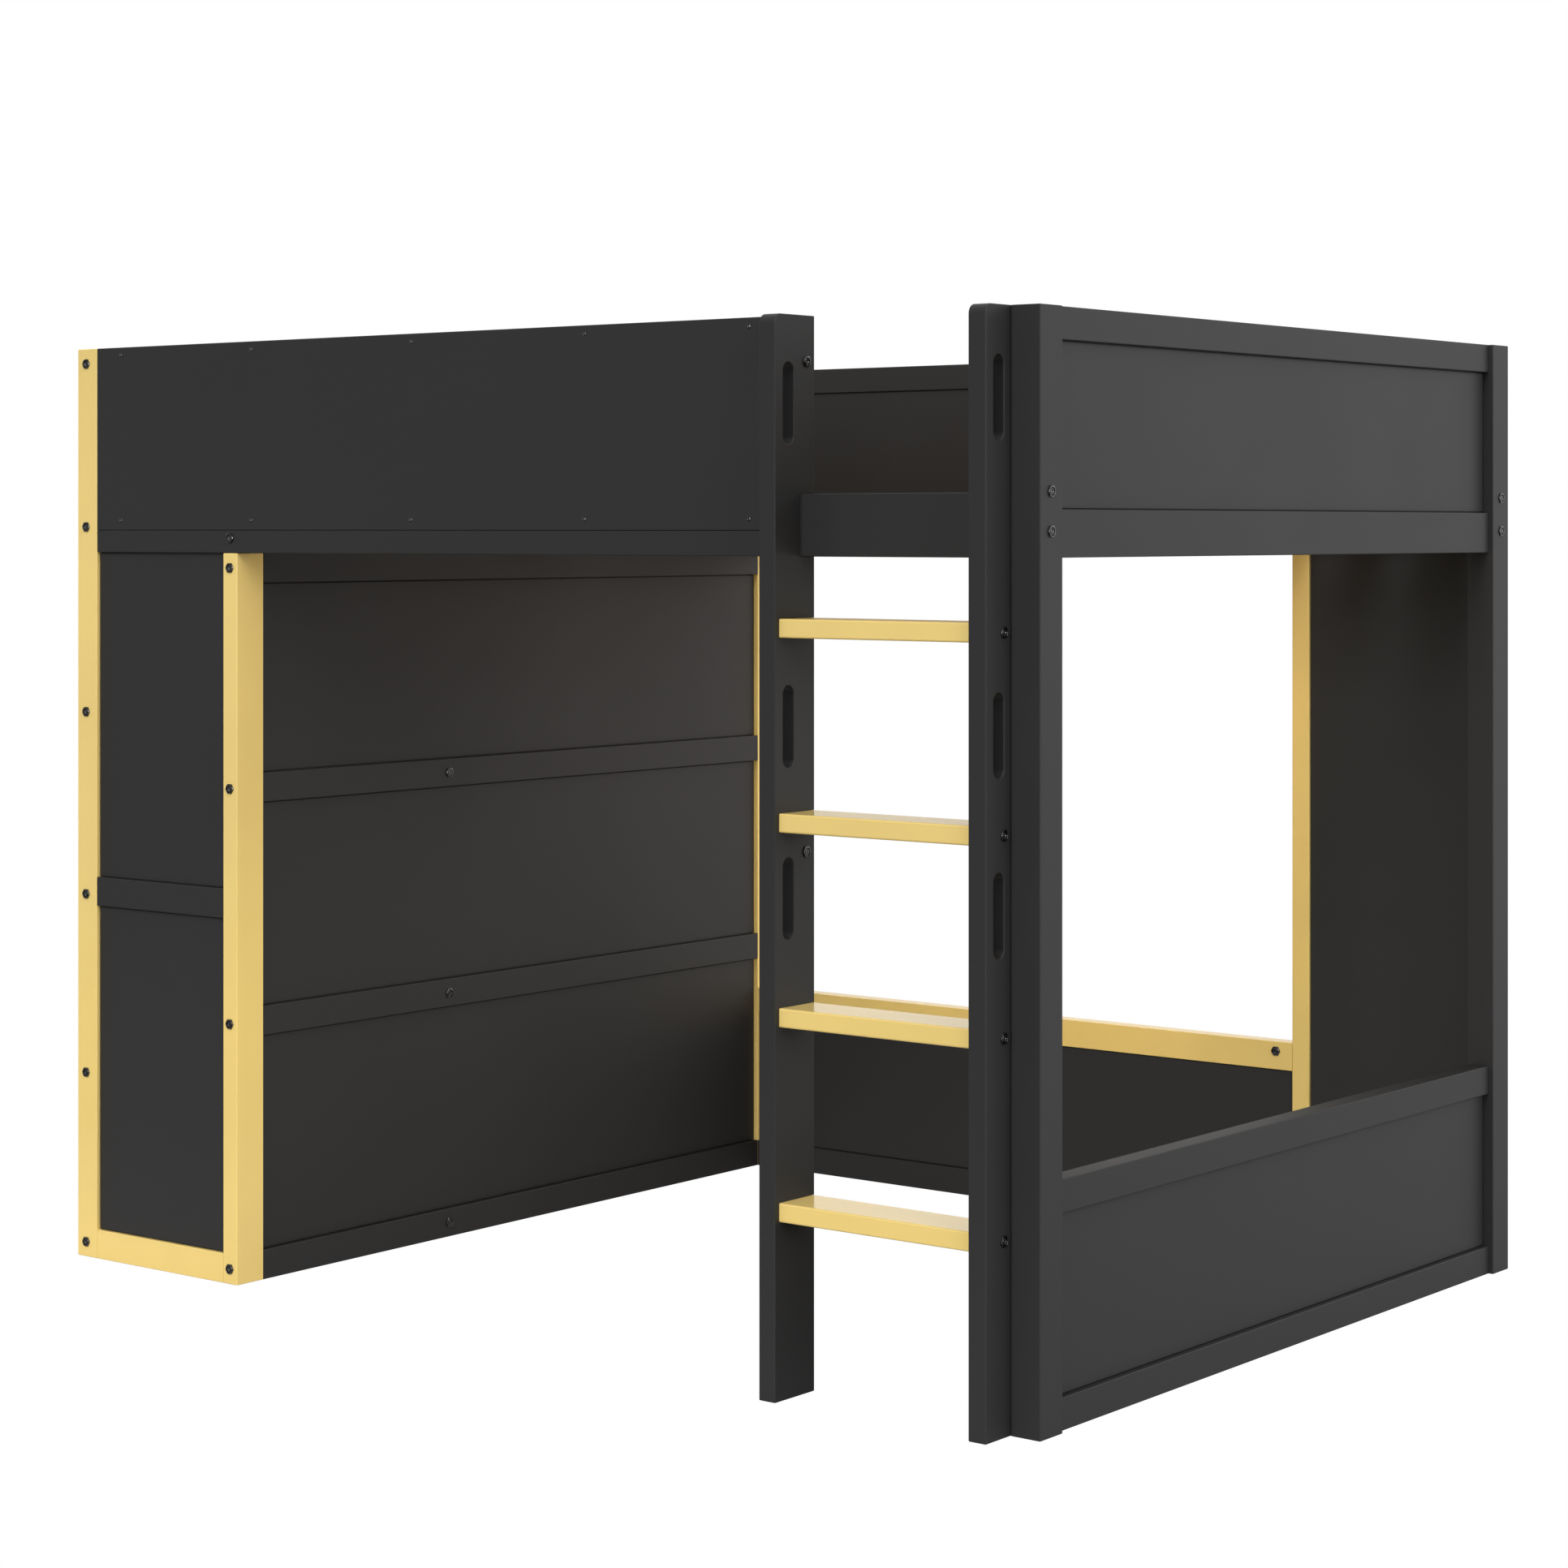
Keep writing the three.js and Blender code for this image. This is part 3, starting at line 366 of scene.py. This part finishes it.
def eased_copy(node, finish, share_of=outer_edges, radius=EASED_RADIUS):
    """A copy of a CAD node with its triangles merged to flat faces and its edges rounded.

    The rounding is a bevel whose width at each convex edge is radius times share_of(middles of the
    edges, the normals of both faces at each, lowest corner, highest corner).
    """
    shape = bmesh.new()
    shape.from_mesh(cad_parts[node].data)
    weight = shape.edges.layers.float.new("bevel_weight_edge")
    bmesh.ops.remove_doubles(shape, verts=shape.verts, dist=WELD)
    bmesh.ops.dissolve_limit(shape, angle_limit=FLAT, verts=shape.verts, edges=shape.edges)
    points = np.array([v.co for v in shape.verts])
    sharp = [e for e in shape.edges if e.is_convex and e.calc_face_angle(0) > CORNER]
    middles = np.array([(e.verts[0].co + e.verts[1].co) / 2 for e in sharp])
    normals = np.array([[f.normal for f in e.link_faces] for e in sharp])
    for edge, share in zip(sharp, share_of(middles, normals, points.min(0), points.max(0))):
        edge[weight] = share
    for edge in shape.edges:
        edge.smooth = edge.is_convex or edge.calc_face_angle(0) < CORNER
    for face in shape.faces:
        face.smooth = True
    name = f"{finish}_{node}"
    mesh = bpy.data.meshes.new(name)
    shape.to_mesh(mesh)
    shape.free()
    piece = bpy.data.objects.new(name, mesh)
    scene.collection.objects.link(piece)
    bevel = piece.modifiers.new("eased_edges", "BEVEL")
    bevel.limit_method = "WEIGHT"
    bevel.width = radius
    bevel.segments = ROUNDING_STEPS
    bevel.use_clamp_overlap = False
    bevel.loop_slide = False
    bevel.face_strength_mode = "FSTR_ALL"
    flat_faces = piece.modifiers.new("flat_faces", "WEIGHTED_NORMAL")
    flat_faces.keep_sharp = True
    flat_faces.use_face_influence = True
    return piece


def painted(node, paint, **easing):
    """Dresses one CAD node: the eased copy stands for it, painted along its longest side."""
    piece = eased_copy(node, "painted", **easing)
    low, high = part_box(node)
    piece.data.materials.append(satin_paint(paint, int(np.argmax(high - low))))
    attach(piece, "root")
    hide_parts(node)


for node in (
    "corner_post_front_left",
    "corner_post_back_left",
    "inner_post_front_left",
    "inner_post_back_left",
    "inner_post_back_right",
):
    painted(node, YELLOW)
for node in ("corner_post_front_right", "corner_post_back_right"):
    painted(node, BLACK)

# Front
# The side rail carries the guard panel in a rebate along its upper front. Below it, a narrow panel
# of two boards in grooved rails closes the bookcase's front, on a yellow bottom rail.
ALONG_AXIS = 0.999  # a face whose normal has this share of an axis looks along it


def shouldered(middles, normals, low, high):
    """Shares of the eased radius, as outer_edges gives, and 1 at the front face's upright edges."""
    front = (normals[:, :, 1] < -ALONG_AXIS) & (np.abs(middles[:, 1] - low[1]) < 2 * WELD)[:, None]
    upright = front.any(1) & (np.abs(normals[:, :, 0]) > ALONG_AXIS).any(1)
    return np.where(upright, 1.0, outer_edges(middles, normals, low, high))


for node in (
    "side_rail_front",
    "guard_panel_front",
    "guard_top_rail_front",
    "bay_mid_rail_front",
    "bay_lower_board_front",
    "bay_upper_board_front",
):
    painted(node, BLACK)
painted("bay_bottom_rail_front", YELLOW, share_of=shouldered)

# Ladder
# Two flat rails with their edges and the rims of their grip slots rounded over by a router, and
# four yellow steps let into housings between them.
STEP_RADIUS = 0.003
GRIP_FRONT = 0.018  # from the rail's front edge to just before its slots
GRIP_BACK = 0.046  # and to just behind them
CORNER_RADIUS = 0.014  # of the rail's front top corner
ON_CURVE = 0.99999  # a face whose normal has no more than this of any axis lies on a curve


def ladder_edges(middles, normals, low, high):
    """Shares of the eased radius, as outer_edges gives, and 1 at the slots' rims and round corner."""
    behind_front = middles[:, 1] - low[1]
    in_slot = (behind_front > GRIP_FRONT) & (behind_front < GRIP_BACK)
    in_slot &= (np.abs(normals[:, :, 0]) > ALONG_AXIS).any(1) & (middles[:, 2] < high[2] - CORNER_RADIUS)
    curved = (np.abs(normals).max(2) < ON_CURVE).any(1)
    return np.where(in_slot | curved, 1.0, outer_edges(middles, normals, low, high))


for node in ("ladder_rail_left", "ladder_rail_right"):
    painted(node, BLACK, share_of=ladder_edges)
for number in (1, 2, 3, 4):
    painted(f"ladder_step_{number}", YELLOW, radius=STEP_RADIUS)

# Right end
# Rails and boards between the black posts: the guard at the top, the low panel at the floor. Each
# board stops a shadow's width short of its frame, and only its tongue goes on into the grooves.
for node in (
    "bed_rail_right",
    "guard_board_right",
    "guard_top_rail_right",
    "low_bottom_rail_right",
    "low_board_right",
    "low_top_rail_right",
):
    painted(node, BLACK)

# Left end
# The same guard as at the right end stands over the bookcase, with a deeper rail at bed level. Its
# board is tongued into the rails, and all are sprayed black.
for node in ("bed_rail_left", "guard_board_left", "guard_top_rail_left"):
    painted(node, BLACK)

# Back
# The guard, the low panel with its yellow top rail between the inner posts, and a full-height
# board in each corner bay.
for node in (
    "side_rail_back",
    "guard_board_back",
    "guard_top_rail_back",
    "low_board_back",
    "low_bottom_rail_back",
    "bay_bottom_rail_back_left",
    "bay_board_back_left",
    "bay_bottom_rail_back_right",
    "bay_board_back_right",
):
    painted(node, BLACK)
painted("low_top_rail_back", YELLOW)

# Partition
# Three boards in four grooved rails, all sprayed black, between the bookcase and the room below
# the bed. The rails are bolted to the two inner posts at their ends.
for number in (1, 2, 3, 4):
    painted(f"partition_rail_{number}", BLACK)
for number in (1, 2, 3):
    painted(f"partition_board_{number}", BLACK)

# Bookcase
# Four shelves and their front rails, halved over one upright divider, painted black like the
# partition behind them.
for number in (1, 2, 3, 4):
    painted(f"shelf_rail_{number}", BLACK)
    painted(f"shelf_{number}", BLACK)
painted("bookcase_divider", BLACK)

# Bed base
# Bare planed pine that the mattress hides: two ledgers screwed along the side rails, a beam along
# the middle, and slats that two woven tapes keep apart. Only the cross bearer is painted.
PINE_LIGHT = "#d2b689"
PINE_DARK = "#b08550"
PINE_ROUGHNESS = 0.62
PINE_STOPS = (0.42, 0.66)  # values of the rings' noise that are all light and all dark
RING_WIDTH = 0.006  # growth rings across a flat-sawn face
RING_LENGTH = 0.35  # how far they run before they wander
WANDER_WIDTH = 0.09  # broad lighter and darker stretches of a board
WANDER_LENGTH = 0.9
PORE_ACROSS = 0.0008
PORE_ALONG = 0.03
PORE_DEPTH = 0.0002
SLAT_COUNT = 14
SLAT_WIDTH = 0.078
SLAT_THICKNESS = 0.018
TAPE_INSET = 0.26  # from a slat's end to the middle of a tape
TAPE_WIDTH = 0.025
TAPE_THICKNESS = 0.001
TAPE_EMBED = 0.0005  # how far the staples press it into the wood
TAPE_COTTON = "#e9e4d6"
TAPE_ROUGHNESS = 0.9
YARN = 0.001  # spacing of the tape's yarns, a little coarser than real so that it shows
YARN_RELIEF = 0.0004
WAVE_REPEAT = 0.3125  # a wave texture's bands at scale 1, in metres, to within a hundredth
STAPLE_CROWN = 0.011
STAPLE_WIRE = 0.0009
STAPLE_GREY = "#b9bcc0"
STAPLE_ROUGHNESS = 0.35


def planed_pine(axis):
    """Planed, uncoated pine whose grain runs along one axis.

    The plane leaves it silky and open-pored. The eye sees pale earlywood with darker rings drawn
    out along the grain, and fine pores in raking light.
    """
    material, tree, shader = new_material(f"planed_pine_{'xyz'[axis]}")
    place = add_node(tree, "TexCoord").outputs["Object"]
    sizes = ((WANDER_WIDTH, WANDER_LENGTH), (RING_WIDTH, RING_LENGTH), (PORE_ACROSS, PORE_ALONG))
    wander_place, ring_place, pore_place = (
        add_node(tree, "Mapping", {"Vector": place, "Scale": drawn_out(axis, *size)}).outputs[0]
        for size in sizes
    )
    wander = add_node(tree, "TexNoise", {"Vector": wander_place, "Scale": 1.0, "Detail": 2.0})
    rings = add_node(
        tree,
        "TexNoise",
        {"Vector": ring_place, "Scale": 1.0, "Detail": 3.0, "Distortion": 0.6},
    )
    both = add_node(tree, "Math", {0: rings.outputs["Fac"], 1: wander.outputs["Fac"]}, operation="ADD")
    mean = add_node(tree, "Math", {0: both.outputs[0], 1: 0.5}, operation="MULTIPLY")
    tone = add_node(tree, "ValToRGB", {"Fac": mean.outputs[0]})
    for stop, position, colour in zip(tone.color_ramp.elements, PINE_STOPS, (PINE_LIGHT, PINE_DARK)):
        stop.position = position
        stop.color = linear(colour)
    tree.links.new(tone.outputs["Color"], shader.inputs["Base Color"])
    pores = add_node(tree, "TexNoise", {"Vector": pore_place, "Scale": 1.0})
    bump = add_node(
        tree,
        "Bump",
        {"Height": pores.outputs["Fac"], "Strength": 0.3, "Distance": PORE_DEPTH},
    )
    tree.links.new(bump.outputs["Normal"], shader.inputs["Normal"])
    shader.inputs["Roughness"].default_value = PINE_ROUGHNESS
    return material


def woven_cotton_tape():
    """Unbleached cotton, woven plain and narrow: matt, with a small bump where yarns cross."""
    material, tree, shader = new_material("woven_cotton_tape")
    shader.inputs["Base Color"].default_value = linear(TAPE_COTTON)
    shader.inputs["Roughness"].default_value = TAPE_ROUGHNESS
    place = add_node(tree, "TexCoord").outputs["Object"]
    scale = WAVE_REPEAT / YARN
    warp = add_node(tree, "TexWave", {"Vector": place, "Scale": scale}, bands_direction="X")
    weft = add_node(tree, "TexWave", {"Vector": place, "Scale": scale}, bands_direction="Y")
    yarns = add_node(tree, "Math", {0: warp.outputs["Fac"], 1: weft.outputs["Fac"]}, operation="MULTIPLY")
    woven = add_node(tree, "Bump", {"Height": yarns.outputs[0], "Strength": 0.6, "Distance": YARN_RELIEF})
    tree.links.new(woven.outputs["Normal"], shader.inputs["Normal"])
    return material


def bright_steel_wire():
    """Galvanised steel wire, drawn through a die: a pale grey metal with a soft glint."""
    material, _, shader = new_material("bright_steel_wire")
    shader.inputs["Base Color"].default_value = linear(STAPLE_GREY)
    shader.inputs["Metallic"].default_value = 1.0
    shader.inputs["Roughness"].default_value = STAPLE_ROUGHNESS
    return material


def boxes_mesh(name, lows, highs):
    """One mesh of square-edged boxes: a unit cube's corners scaled and moved between each pair."""
    unit = np.array([(x, y, z) for z in (0, 1) for y in (0, 1) for x in (0, 1)])
    sides = np.array([(0, 2, 3, 1), (4, 5, 7, 6), (0, 1, 5, 4), (2, 6, 7, 3), (0, 4, 6, 2), (1, 3, 7, 5)])
    lows, highs = np.asarray(lows), np.asarray(highs)
    points = lows[:, None] + unit[None] * (highs - lows)[:, None]
    faces = sides[None] + len(unit) * np.arange(len(lows))[:, None, None]
    mesh = bpy.data.meshes.new(name)
    mesh.from_pydata(points.reshape(-1, 3).tolist(), [], faces.reshape(-1, 4).tolist())
    return mesh


def add_piece(name, mesh, material, slot, *nodes):
    """Puts a finished mesh in the scene as a piece that rides on the bed."""
    piece = bpy.data.objects.new(name, mesh)
    scene.collection.objects.link(piece)
    mesh.materials.append(material)
    mesh.polygons.foreach_set("use_smooth", [True] * len(mesh.polygons))
    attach(piece, "root")
    if nodes:
        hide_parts(*nodes)
    return piece


def round_edges(piece, radius, steps=2):
    """Rounds every corner edge of a piece."""
    bevel = piece.modifiers.new("rounded", "BEVEL")
    bevel.width = radius
    bevel.segments = steps
    bevel.angle_limit = CORNER
    bevel.harden_normals = True


pine_along_bed = planed_pine(0)
pine_across_bed = planed_pine(1)
for node in ("ledger_front", "ledger_back", "centre_beam"):
    piece = eased_copy(node, "planed")
    piece.data.materials.append(pine_along_bed)
    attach(piece, "root")
    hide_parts(node)
painted("cross_bearer", BLACK)

roll_low, roll_high = (np.array(corner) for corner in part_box("slat_roll"))
slat_left = np.linspace(roll_low[0], roll_high[0] - SLAT_WIDTH, SLAT_COUNT)
lows = np.stack([slat_left, np.full(SLAT_COUNT, roll_low[1]), np.full(SLAT_COUNT, roll_low[2])], 1)
highs = lows + (SLAT_WIDTH, roll_high[1] - roll_low[1], SLAT_THICKNESS)
slats = add_piece("slats", boxes_mesh("slats", lows, highs), pine_across_bed, "bare_pine", "slat_roll")
round_edges(slats, EASED_RADIUS)

slat_top = roll_low[2] + SLAT_THICKNESS
tape_middles = np.array([roll_low[1] + TAPE_INSET, roll_high[1] - TAPE_INSET])
tape_low = np.array(
    [(slat_left[0] + SLAT_WIDTH / 2, y - TAPE_WIDTH / 2, slat_top - TAPE_EMBED) for y in tape_middles]
)
tape_high = tape_low + (slat_left[-1] - slat_left[0], TAPE_WIDTH, TAPE_THICKNESS)
tape_mesh = boxes_mesh("slat_tapes", tape_low, tape_high)
tapes = add_piece("slat_tapes", tape_mesh, woven_cotton_tape(), "bare_pine")
round_edges(tapes, TAPE_THICKNESS / 4)

staple_x, staple_y = np.meshgrid(slat_left + SLAT_WIDTH / 2, tape_middles)
staple_low = np.stack(
    [
        staple_x.ravel() - STAPLE_WIRE / 2,
        staple_y.ravel() - STAPLE_CROWN / 2,
        np.full(staple_x.size, slat_top + TAPE_THICKNESS - TAPE_EMBED),
    ],
    1,
)
staple_high = staple_low + (STAPLE_WIRE, STAPLE_CROWN, STAPLE_WIRE / 2)
staple_mesh = boxes_mesh("tape_staples", staple_low, staple_high)
staples = add_piece("tape_staples", staple_mesh, bright_steel_wire(), "black_steel")
round_edges(staples, STAPLE_WIRE / 6, 1)

# Joint bolts
# Black oxide bolts draw the rails to the posts. Their flat hexagon heads have a ring pressed into
# them around a boss with a cross recess, and stand with two corners level.
HEAD_FLATS = 0.016  # across flats
HEAD_HEIGHT = 0.0026
HEAD_CHAMFER = math.radians(28)
HEAD_EASE = 0.0001  # the step in which the small chamfers of the head's profile are counted
RING_OUTSIDE = 0.0061  # radii of the pressed ring
RING_INSIDE = 0.0046
RING_DEPTH = 0.0020
BOSS_DROP = 0.0005  # boss below the rim
CROSS_REACH = 0.004  # radius of the cross recess
CROSS_DEPTH = 0.0017
CROSS_ARM = 0.0010  # half the width of an arm
CROSS_RINGS = 8
CROSS_WALL = 0.3  # width of the sloping wall beside an arm, as a share of the arm
CROSS_FLOOR = 1.6  # above 1, this keeps the recess at its full depth near the middle
AROUND = 48  # points round a head
ANGLES = np.arange(AROUND) * 2 * math.pi / AROUND
CREASE = math.radians(35)  # edges that turn by more than this stay sharp
OXIDE_GREY = "#5a5a5a"
OXIDE_ROUGHNESS = (0.16, 0.28)  # of the oiliest and the driest patches
OXIDE_PATCH = 1 / 900  # size of those patches, about 1.1 mm
LEFT_END_HEIGHTS = (0.026, 0.3215, 0.6325, 0.950, 1.272, 1.556)  # bolts into its rails
PARTITION_HEIGHTS = (0.0257, 0.437, 0.832, 1.203)
SIDE_RAIL_HEIGHTS = (1.265, 1.321)  # two in each end of a side rail
BEARER_HEIGHT = 1.253  # the bolt through the side rail into the cross bearer
LEFT_END_INSET = 0.0226  # from the bed's end
INNER_POST_INSET = 0.3857
SIDE_RAIL_INSET = 0.0275  # from the posts' front or back face
TO_FRONT, TO_BACK, TO_LEFT, TO_RIGHT = (0, -1, 0), (0, 1, 0), (-1, 0, 0), (1, 0, 0)


def black_oxide_steel():
    """Steel blackened in a hot salt bath and oiled.

    The eye sees a near-black metal with sharp glints and a faintly uneven gloss.
    """
    material, tree, shader = new_material("black_oxide_steel")
    shader.inputs["Base Color"].default_value = linear(OXIDE_GREY)
    shader.inputs["Metallic"].default_value = 1.0
    place = add_node(tree, "TexCoord").outputs["Object"]
    patches = add_node(tree, "TexNoise", {"Vector": place, "Scale": 1 / OXIDE_PATCH, "Detail": 2.0})
    oiliest, driest = OXIDE_ROUGHNESS
    sheen = add_node(
        tree,
        "MapRange",
        {"Value": patches.outputs["Fac"], "To Min": oiliest, "To Max": driest},
    )
    tree.links.new(sheen.outputs["Result"], shader.inputs["Roughness"])
    return material


def ring(radius, height):
    """Points round the z axis at ANGLES: radius times the cosine, radius times the sine, height."""
    radius, height = np.broadcast_to(radius, AROUND), np.broadcast_to(height, AROUND)
    return np.stack([radius * np.cos(ANGLES), radius * np.sin(ANGLES), height], 1)


def skin_over(rows):
    """Vertices and faces of a closed skin over rings of points, with a middle point at each end.

    rows has the shape (rings, points, 3). The first ring is at the base and the last on top, and
    points run anticlockwise seen from the top.
    """
    rings, count, _ = rows.shape
    points = np.concatenate([rows.reshape(-1, 3), rows[0].mean(0)[None], rows[-1].mean(0)[None]])
    this = np.arange(count)
    following = (this + 1) % count
    start = (np.arange(rings - 1) * count)[:, None]
    above = start + count
    quads = np.stack([start + this, start + following, above + following, above + this], 2)
    base, top = rings * count, rings * count + 1
    last = (rings - 1) * count
    fans = [np.stack([following, this, np.full(count, base)], 1)]
    fans.append(np.stack([last + this, last + following, np.full(count, top)], 1))
    return points, quads.reshape(-1, 4), np.concatenate(fans)


def cross_recess(radius, reach, arm, depth):
    """Depth of a cross recess round a circle: full inside two crossed arms, easing to 0 outside.

    Along its arm a point lies u from the centre and across it v, the larger and the smaller of the
    sine and cosine parts. The recess tapers from depth at the centre to 0 at u = reach.
    """
    cosine, sine = np.abs(np.cos(ANGLES)), np.abs(np.sin(ANGLES))
    u = radius * np.maximum(cosine, sine)
    v = radius * np.minimum(cosine, sine)
    inside = np.clip((arm - v) / (CROSS_WALL * arm) + 0.5, 0, 1)
    return depth * inside * np.clip(CROSS_FLOOR * (1 - u / reach), 0, 1)


def bolt_head():
    """A hollow hexagon head, base on z = 0 and one corner towards +x.

    The hexagon's radius is half the flats over cos of the angle from the nearest flat's middle. The
    side's top edge follows a cone of HEAD_CHAMFER that starts at the flats' circle.
    """
    ease = HEAD_EASE
    inner = HEAD_FLATS / 2
    hexagon = inner / np.cos(np.mod(ANGLES, math.pi / 3) - math.pi / 6)
    shoulder = HEAD_HEIGHT - 3 * ease - (hexagon - inner) * math.tan(HEAD_CHAMFER)
    pressed = HEAD_HEIGHT - RING_DEPTH
    boss = HEAD_HEIGHT - BOSS_DROP
    rows = [ring(hexagon, 0), ring(hexagon, shoulder), ring(inner - 4 * ease, HEAD_HEIGHT - ease)]
    rows += [ring(RING_OUTSIDE + 3 * ease, HEAD_HEIGHT), ring(RING_OUTSIDE, HEAD_HEIGHT - 2 * ease)]
    rows += [ring(RING_OUTSIDE - 3 * ease, pressed), ring(RING_INSIDE + 2 * ease, pressed)]
    rows += [ring(RING_INSIDE, boss - 2 * ease), ring(RING_INSIDE - 3 * ease, boss)]
    for radius in np.linspace(CROSS_REACH, CROSS_REACH / CROSS_RINGS, CROSS_RINGS):
        rows.append(ring(radius, boss - cross_recess(radius, CROSS_REACH, CROSS_ARM, CROSS_DEPTH)))
    return skin_over(np.array(rows))


def placed_copies(name, shape, places):
    """One mesh with a copy of shape at each place, given as (point, outward normal).

    The copies stand upright: their y axis is turned to +Z and their z axis to the normal.
    """
    points, quads, triangles = shape
    all_points, all_faces = [], []
    for number, (place, normal) in enumerate(places):
        out = np.array(normal, float)
        up = np.array((0.0, 0.0, 1.0))
        side = np.cross(up, out)
        all_points.append(points @ np.array([side, up, out]) + np.array(place))
        all_faces += (quads + number * len(points)).tolist()
        all_faces += (triangles + number * len(points)).tolist()
    mesh = bpy.data.meshes.new(name)
    mesh.from_pydata(np.concatenate(all_points).tolist(), [], all_faces)
    return mesh


oxide = black_oxide_steel()


def fasteners(name, shape, places):
    """One piece with a black steel head of the given shape at each place."""
    piece = add_piece(name, placed_copies(name, shape, places), oxide, "black_steel")
    piece.data.set_sharp_from_angle(angle=CREASE)


left, right = cad_bounds[0][0], cad_bounds[1][0]
front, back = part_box("corner_post_front_left")[0].y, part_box("corner_post_back_left")[1].y
head = bolt_head()

post_places = []
for y, normal in ((front, TO_FRONT), (back, TO_BACK)):
    post_places += [((left + LEFT_END_INSET, y, z), normal) for z in LEFT_END_HEIGHTS]
    post_places += [((left + INNER_POST_INSET, y, z), normal) for z in PARTITION_HEIGHTS]
    post_places += [((left + INNER_POST_INSET, y, BEARER_HEIGHT), normal)]
for y in (front + SIDE_RAIL_INSET, back - SIDE_RAIL_INSET):
    post_places += [((right, y, z), TO_RIGHT) for z in SIDE_RAIL_HEIGHTS]
    post_places += [((left, y, z), TO_LEFT) for z in SIDE_RAIL_HEIGHTS]
fasteners("post_bolts", head, post_places)

# Ladder bolts
# The same bolts go through the ladder's rails into the ends of the steps. Two more in each rail,
# with their heads on its inner side, fix it at the top and halfway down.
STEP_BOLT_BACK = 0.044  # from the front edge of the ladder rail
FIXING_BACK = 0.0745
FIXING_HEIGHTS = (0.795, 1.514)

rail_low, rail_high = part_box("ladder_rail_left")
far_low, far_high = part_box("ladder_rail_right")
ladder_places = []
for number in (1, 2, 3, 4):
    low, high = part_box(f"ladder_step_{number}")
    height = (low.z + high.z) / 2
    ladder_places.append(((rail_low.x, rail_low.y + STEP_BOLT_BACK, height), TO_LEFT))
    ladder_places.append(((far_high.x, far_low.y + STEP_BOLT_BACK, height), TO_RIGHT))
for z in FIXING_HEIGHTS:
    ladder_places.append(((rail_high.x, rail_low.y + FIXING_BACK, z), TO_RIGHT))
    ladder_places.append(((far_low.x, far_low.y + FIXING_BACK, z), TO_LEFT))
fasteners("ladder_bolts", head, ladder_places)

# Inside bolts
# Three more hold the bookcase's divider to the partition, through the partition's rails, and one
# fixes the low rail at the back.
DIVIDER_BACK = 0.514  # from the posts' front faces
LOW_RAIL_BOLT = (0.574, 0.337)  # place along the bed and height

room_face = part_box("partition_rail_1")[1].x
low_rail_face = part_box("low_top_rail_back")[0].y
inside_places = [((room_face, front + DIVIDER_BACK, z), TO_RIGHT) for z in PARTITION_HEIGHTS[:3]]
inside_places.append(((LOW_RAIL_BOLT[0], low_rail_face, LOW_RAIL_BOLT[1]), TO_FRONT))
fasteners("inside_bolts", head, inside_places)

# Guard screws
# Two rows of five black screws with small domed heads hold the guard panel to the side rail and to
# the rail behind its top edge.
SCREW_RADIUS = 0.0037
SCREW_PROUD = 0.0010  # height of the dome
SCREW_CROSS = 0.0018
SCREW_CROSS_ARM = 0.0004
SCREW_CROSS_DEPTH = 0.0007
SCREW_RIM = 0.0002  # how far the rim is pressed into the paint
SCREW_RINGS = (0.98, 0.93, 0.85, 0.74, 0.62, 0.5, 0.4, 0.3, 0.2, 0.1)  # shares of the radius
SCREW_PLACES = (0.1115, 0.4365, 0.8065, 1.177, 1.5013)  # from the bed's left end
SCREW_HEIGHTS = (1.283, 1.5686)


def screw_head():
    """A domed screw head with a cross recess, its rim on the board at z = 0.

    At radius r the dome's height is SCREW_PROUD times the square root of 1 - (r / SCREW_RADIUS)**2,
    less the depth of the recess there.
    """
    rows = [ring(SCREW_RADIUS, -SCREW_RIM), ring(SCREW_RADIUS, 0)]
    for share in SCREW_RINGS:
        radius = share * SCREW_RADIUS
        dome = SCREW_PROUD * math.sqrt(1 - share**2)
        sunk = cross_recess(radius, SCREW_CROSS, SCREW_CROSS_ARM, SCREW_CROSS_DEPTH)
        rows.append(ring(radius, dome - sunk))
    return skin_over(np.array(rows))


screw_places = [((left + x, front, z), TO_FRONT) for x in SCREW_PLACES for z in SCREW_HEIGHTS]
fasteners("guard_screws", screw_head(), screw_places)
